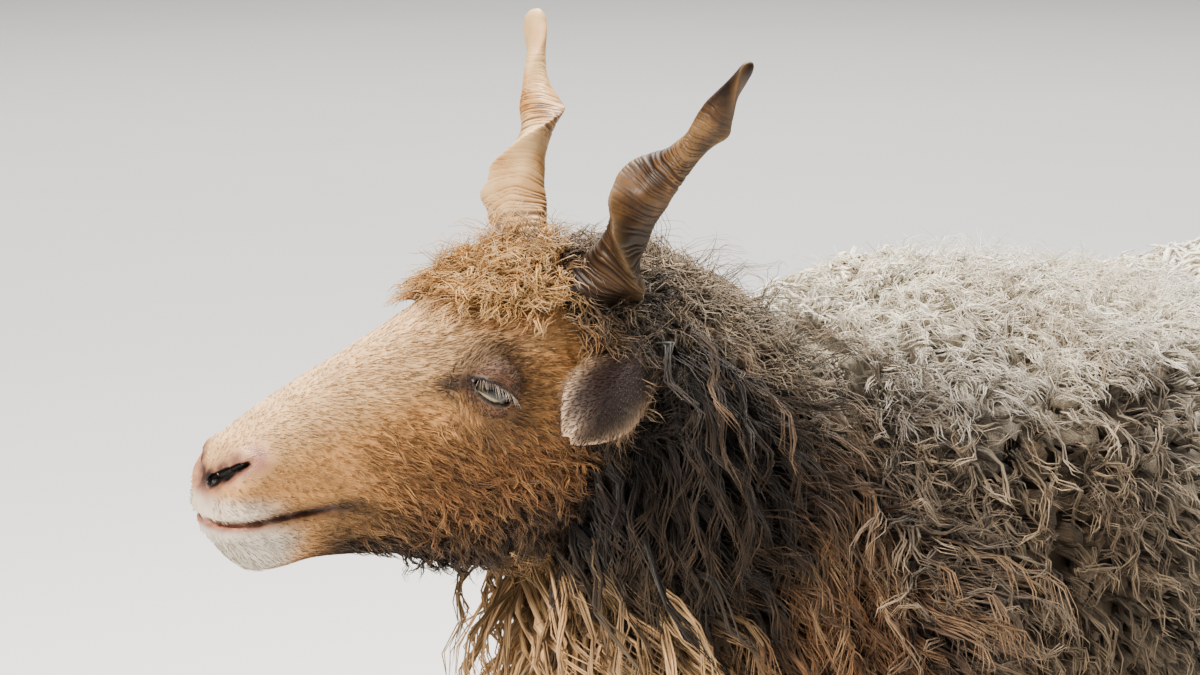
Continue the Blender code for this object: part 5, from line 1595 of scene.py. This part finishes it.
# The coat is finest ahead of this place on the left, which the photograph shows. The grey
# hanging wool ends at the middle level, and the cream of the back starts there.
FRONT, LOW, MIDDLE = 0.13, -0.11, 0.125
BACK_LEFT, BACK_RIGHT = (fleece_part(-1, FRONT, MIDDLE, 1, side) for side in (1, -1))
SHOULDER_LEFT, SHOULDER_RIGHT = (fleece_part(-1, FRONT, LOW, MIDDLE, side) for side in (1, -1))
RUMP, FLANK = fleece_part(FRONT, 1, 0.02, 1), fleece_part(FRONT, 1, -0.15, 0.02)
UNDERSIDE = fleece_part(-1, FRONT, -0.16, -0.10)
FLEECE = (
    ("back_curls_l", 900, 410, BACK_LEFT, CREAM_COLOURS_AND_SHADE, {**CURL, "strands": 5}),
    ("back_fuzz_l", 480, 411, BACK_LEFT, CREAM_COLOURS_AND_SHADE, {**FUZZ, "rise": 0.030, "strands": 4}),
    ("shoulder_curls_l", 800, 412, SHOULDER_LEFT, GREY_COLOURS_AND_SHADE, {**HANGING, "strands": 4}),
    ("shoulder_fuzz_l", 280, 413, SHOULDER_LEFT, {**GREY_COLOURS_AND_SHADE, "root": 0.9}, {**FUZZ, "rise": 0.022}),
    ("shoulder_curls_r", 420, 414, SHOULDER_RIGHT, GREY_COLOURS_AND_SHADE, {**HANGING, "strands": 2, "width": 0.0054}),
    ("back_curls_r", 620, 415, BACK_RIGHT, CREAM_COLOURS_AND_SHADE, {**CURL, "strands": 2, "width": 0.0046}),
    ("rump_curls", 980, 416, RUMP, CREAM_COLOURS_AND_SHADE,
     {**CURL, "strands": 2, "width": 0.0050, "length": (0.026, 0.042)}),
    ("flank_curls", 660, 417, FLANK, {**CREAM_COLOURS_AND_SHADE, "root": 0.6},
     {**HANGING, "strands": 2, "width": 0.0056}),
    ("belly_curls", 320, 418, UNDERSIDE, GREY_COLOURS_AND_SHADE, {**HANGING, "strands": 2, "width": 0.0054}),
)
for name, number, seed, place, dye, style in FLEECE:
    grown(name, "fleece", torso_grid, "torso", number, seed, place, fleece_lie, dye, style)

# The tail is long and bushy, and the legs have short sleek hair down to the claws.
tail_grid = tail_rings(30, 20)
TAIL = {**RINGLET, "length": (0.045, 0.080), "lift": 0.6, "strands": 4, "points": 7, "width": 0.0044}


def tail_lie(roots, normals, draw):
    return np.tile(DOWN, (len(roots), 1)) + draw.normal(0, 0.2, roots.shape)


def leg_density(points):
    return 0.35 + 0.65 * share(points[:, 2], 0.20, 0.34)[:, 0]


grown("tail_locks", "fleece", tail_grid, "tail", 170, 500, None, tail_lie, CREAM_COLOURS_AND_SHADE, TAIL)
for number, (letter, rings) in enumerate(LEGS):
    draw = np.random.default_rng(510 + number)
    roots, normals, spots = scattered(rings, letter, int(1250 * FULL), draw, leg_density)
    high = share(roots[:, 2], 0.25, 0.42)[:, 0]
    length = (0.011 + 0.028 * high) * draw.uniform(0.8, 1.25, len(roots))
    lies = np.tile(DOWN, (len(roots), 1)) + draw.normal(0, 0.15, roots.shape) + np.array((0, 0.15, 0))
    lock = middle_lines(roots, normals, lies, length, 0.45, 0.2, 0.001, 3)
    colours = coloured_and_shaded(markings_light_and_shade(roots), 3, draw, 1, 0.75, tint(176, 148, 120), 0.35)
    wool_object("leg_hair_" + letter, "skin", lock, 0.0021 + 0.0022 * high, colours, spots, draw)

# Fine hair fans over the back of each ear and stands past its rim.
for side, letter in SIDES:
    draw = np.random.default_rng(600 + side)
    leaf = EAR_LEAVES[side]
    rows, round_it = leaf.shape[:2]
    faces = [
        (r * round_it + k, r * round_it + (k + 1) % round_it,
         (r + 1) * round_it + (k + 1) % round_it, (r + 1) * round_it + k)
        for r in range(rows - 1) for k in range(round_it)
    ]
    tree = BVHTree.FromPolygons([Vector(p) for p in leaf.reshape(-1, 3)], faces)
    number = int((3000 if side > 0 else 1200) * FULL)
    roots, normals, spots = scattered(leaf, "ears", number, draw, None, tree)
    middle = leaf.mean(axis=1)
    own_row = np.argmin(np.linalg.norm(roots[:, None] - middle[None], axis=2), axis=1)
    outward = roots - middle[own_row]
    normals *= np.where(np.sum(normals * outward, axis=1, keepdims=True) < 0, -1.0, 1.0)
    base_of = placed(np.array([EAR_ROOT * FLIP[side]]))
    lies = unit(roots - base_of) + unit(outward) * 0.5 + draw.normal(0, 0.12, roots.shape)
    at_rim = np.clip(np.linalg.norm(outward, axis=1, keepdims=True) / 0.020, 0, 1) ** 8
    length = draw.uniform(0.0028, 0.0052, len(roots)) * (1 + 0.9 * at_rim[:, 0])
    lock = middle_lines(roots, normals, lies, length, 0.3, 0.0, 0.0004, 3, tree, -0.0003)
    # Rim hair is painted pale, partly its own colour and partly painted light on the rim; the rest is dark,
    # partly painted shade from the head.
    colour = toward(np.tile(np.array(tint(36, 26, 22)), (len(roots), 1)), tint(200, 166, 130), at_rim * 0.8)
    colours = coloured_and_shaded(colour, 3, draw, 1, 1.0, tint(112, 84, 70), 0.2, 0.08, 0.0)
    wool_object("ear_hair_" + letter, "ear", lock, 0.0005 if side > 0 else 0.0008, colours, spots, draw)

# Short hair lies in arcs over both lids of each eye, and long pale lashes stand out from the
# upper one and hang over the eye.
LID_HAIR_REACH, LID_HAIR_GAP, LASHES, LASH_POINTS = 14.5, 1.6, 28, 5


def on_lids(across, high, out):
    """Places about the left eye, in millimetres along, across and out from its middle."""
    away = np.outer(across, LID_ACROSS) + np.outer(high, LID_UP) + np.outer(out, LID_OUT)
    return np.array(EYE_CENTRE) + away


def lid_spots(height):
    """The middle of the head's tile in the coat's unwrap, at this share of its height."""
    x, y, wide, tall = TILES["head"]
    return np.array((x + wide * 0.5, y + tall * height))


for side, letter in SIDES:
    draw = np.random.default_rng(690 + side)
    flip = FLIP[side]
    number = 1500 if side > 0 else 600
    across, high = draw.uniform(-LID_HAIR_REACH, LID_HAIR_REACH, (2, number))
    half = slit_half(across)
    above = high > LID_UPPER * half + LID_HAIR_GAP
    below = high < -LID_LOWER * half - LID_HAIR_GAP
    kept = (above | below) & (np.hypot(across, high) < LID_HAIR_REACH)
    across, high = across[kept], high[kept]
    out = np.sqrt((EYE_RADIUS + LID_THICK) ** 2 - across**2 - high**2)
    starts = placed(on_lids(across, high, out) * flip)
    found = [skin_tree.find_nearest(Vector(point)) for point in starts]
    roots, normals = np.array([f[0] for f in found]), np.array([f[1] for f in found])
    bend = np.where(high > 0, -across / 12, -0.8)[:, None]
    lies = turned((LID_ACROSS + LID_UP * bend) * flip) + draw.normal(0, 0.16, roots.shape)
    length = draw.uniform(0.0030, 0.0048, len(roots))
    lock = middle_lines(roots, normals, lies, length, 0.35, 0.0, 0.0005, 3)
    hair = np.array(tint(92, 62, 52)) * draw.uniform(0.3, 1.8, (len(roots), 1))
    colours = coloured_and_shaded(hair, 3, draw, 1, 0.7, tint(196, 160, 138), 0.5, 0.2, 0.0)
    spots = lid_spots(0.14 if side > 0 else 0.42) + np.stack([across, high], axis=1) * 0.001
    wool_object("lid_hair_" + letter, "skin", lock, 0.00055, colours, spots, draw)
for side, letter in SIDES:
    draw = np.random.default_rng(700 + side)
    flip = FLIP[side]
    along = np.linspace(-0.85, 0.92, LASHES) + draw.normal(0, 0.016, LASHES)
    high = LID_UPPER * np.sqrt(np.clip(1 - along**2, 0, 1)) ** 1.25 + 0.8
    across = along * LID_HALF_LENGTH
    out = np.sqrt(np.clip((EYE_RADIUS + 1.6) ** 2 - across**2 - high**2, 0, None))
    root = on_lids(across, high, out)
    t = np.linspace(0, 1, LASH_POINTS)[None, :, None]
    reach = draw.uniform(5.5, 9, LASHES)[:, None, None]
    fan = LID_OUT + np.outer(along * 0.5 + draw.normal(0, 0.16, LASHES), LID_ACROSS)
    line = root[:, None] + fan[:, None] * reach * t + DOWN * reach * (0.30 * t + 0.45 * t**2)
    line = placed(line * flip)
    across = np.broadcast_to(turned(LID_ACROSS * flip), line.shape)
    upward = np.cross(across, unit(np.gradient(line, axis=1)))
    paler = np.linspace(0.35, 0.9, LASH_POINTS)[None, :, None]
    shades = np.tile(paler * np.array(tint(226, 206, 184)), (LASHES, 1, 1))
    spots = lid_spots(0.12 if side > 0 else 0.4) + along[:, None] * (0.02, 0)
    wool_object("lashes_" + letter, "skin", (line, across, upward), 0.00028, shades, spots, draw)
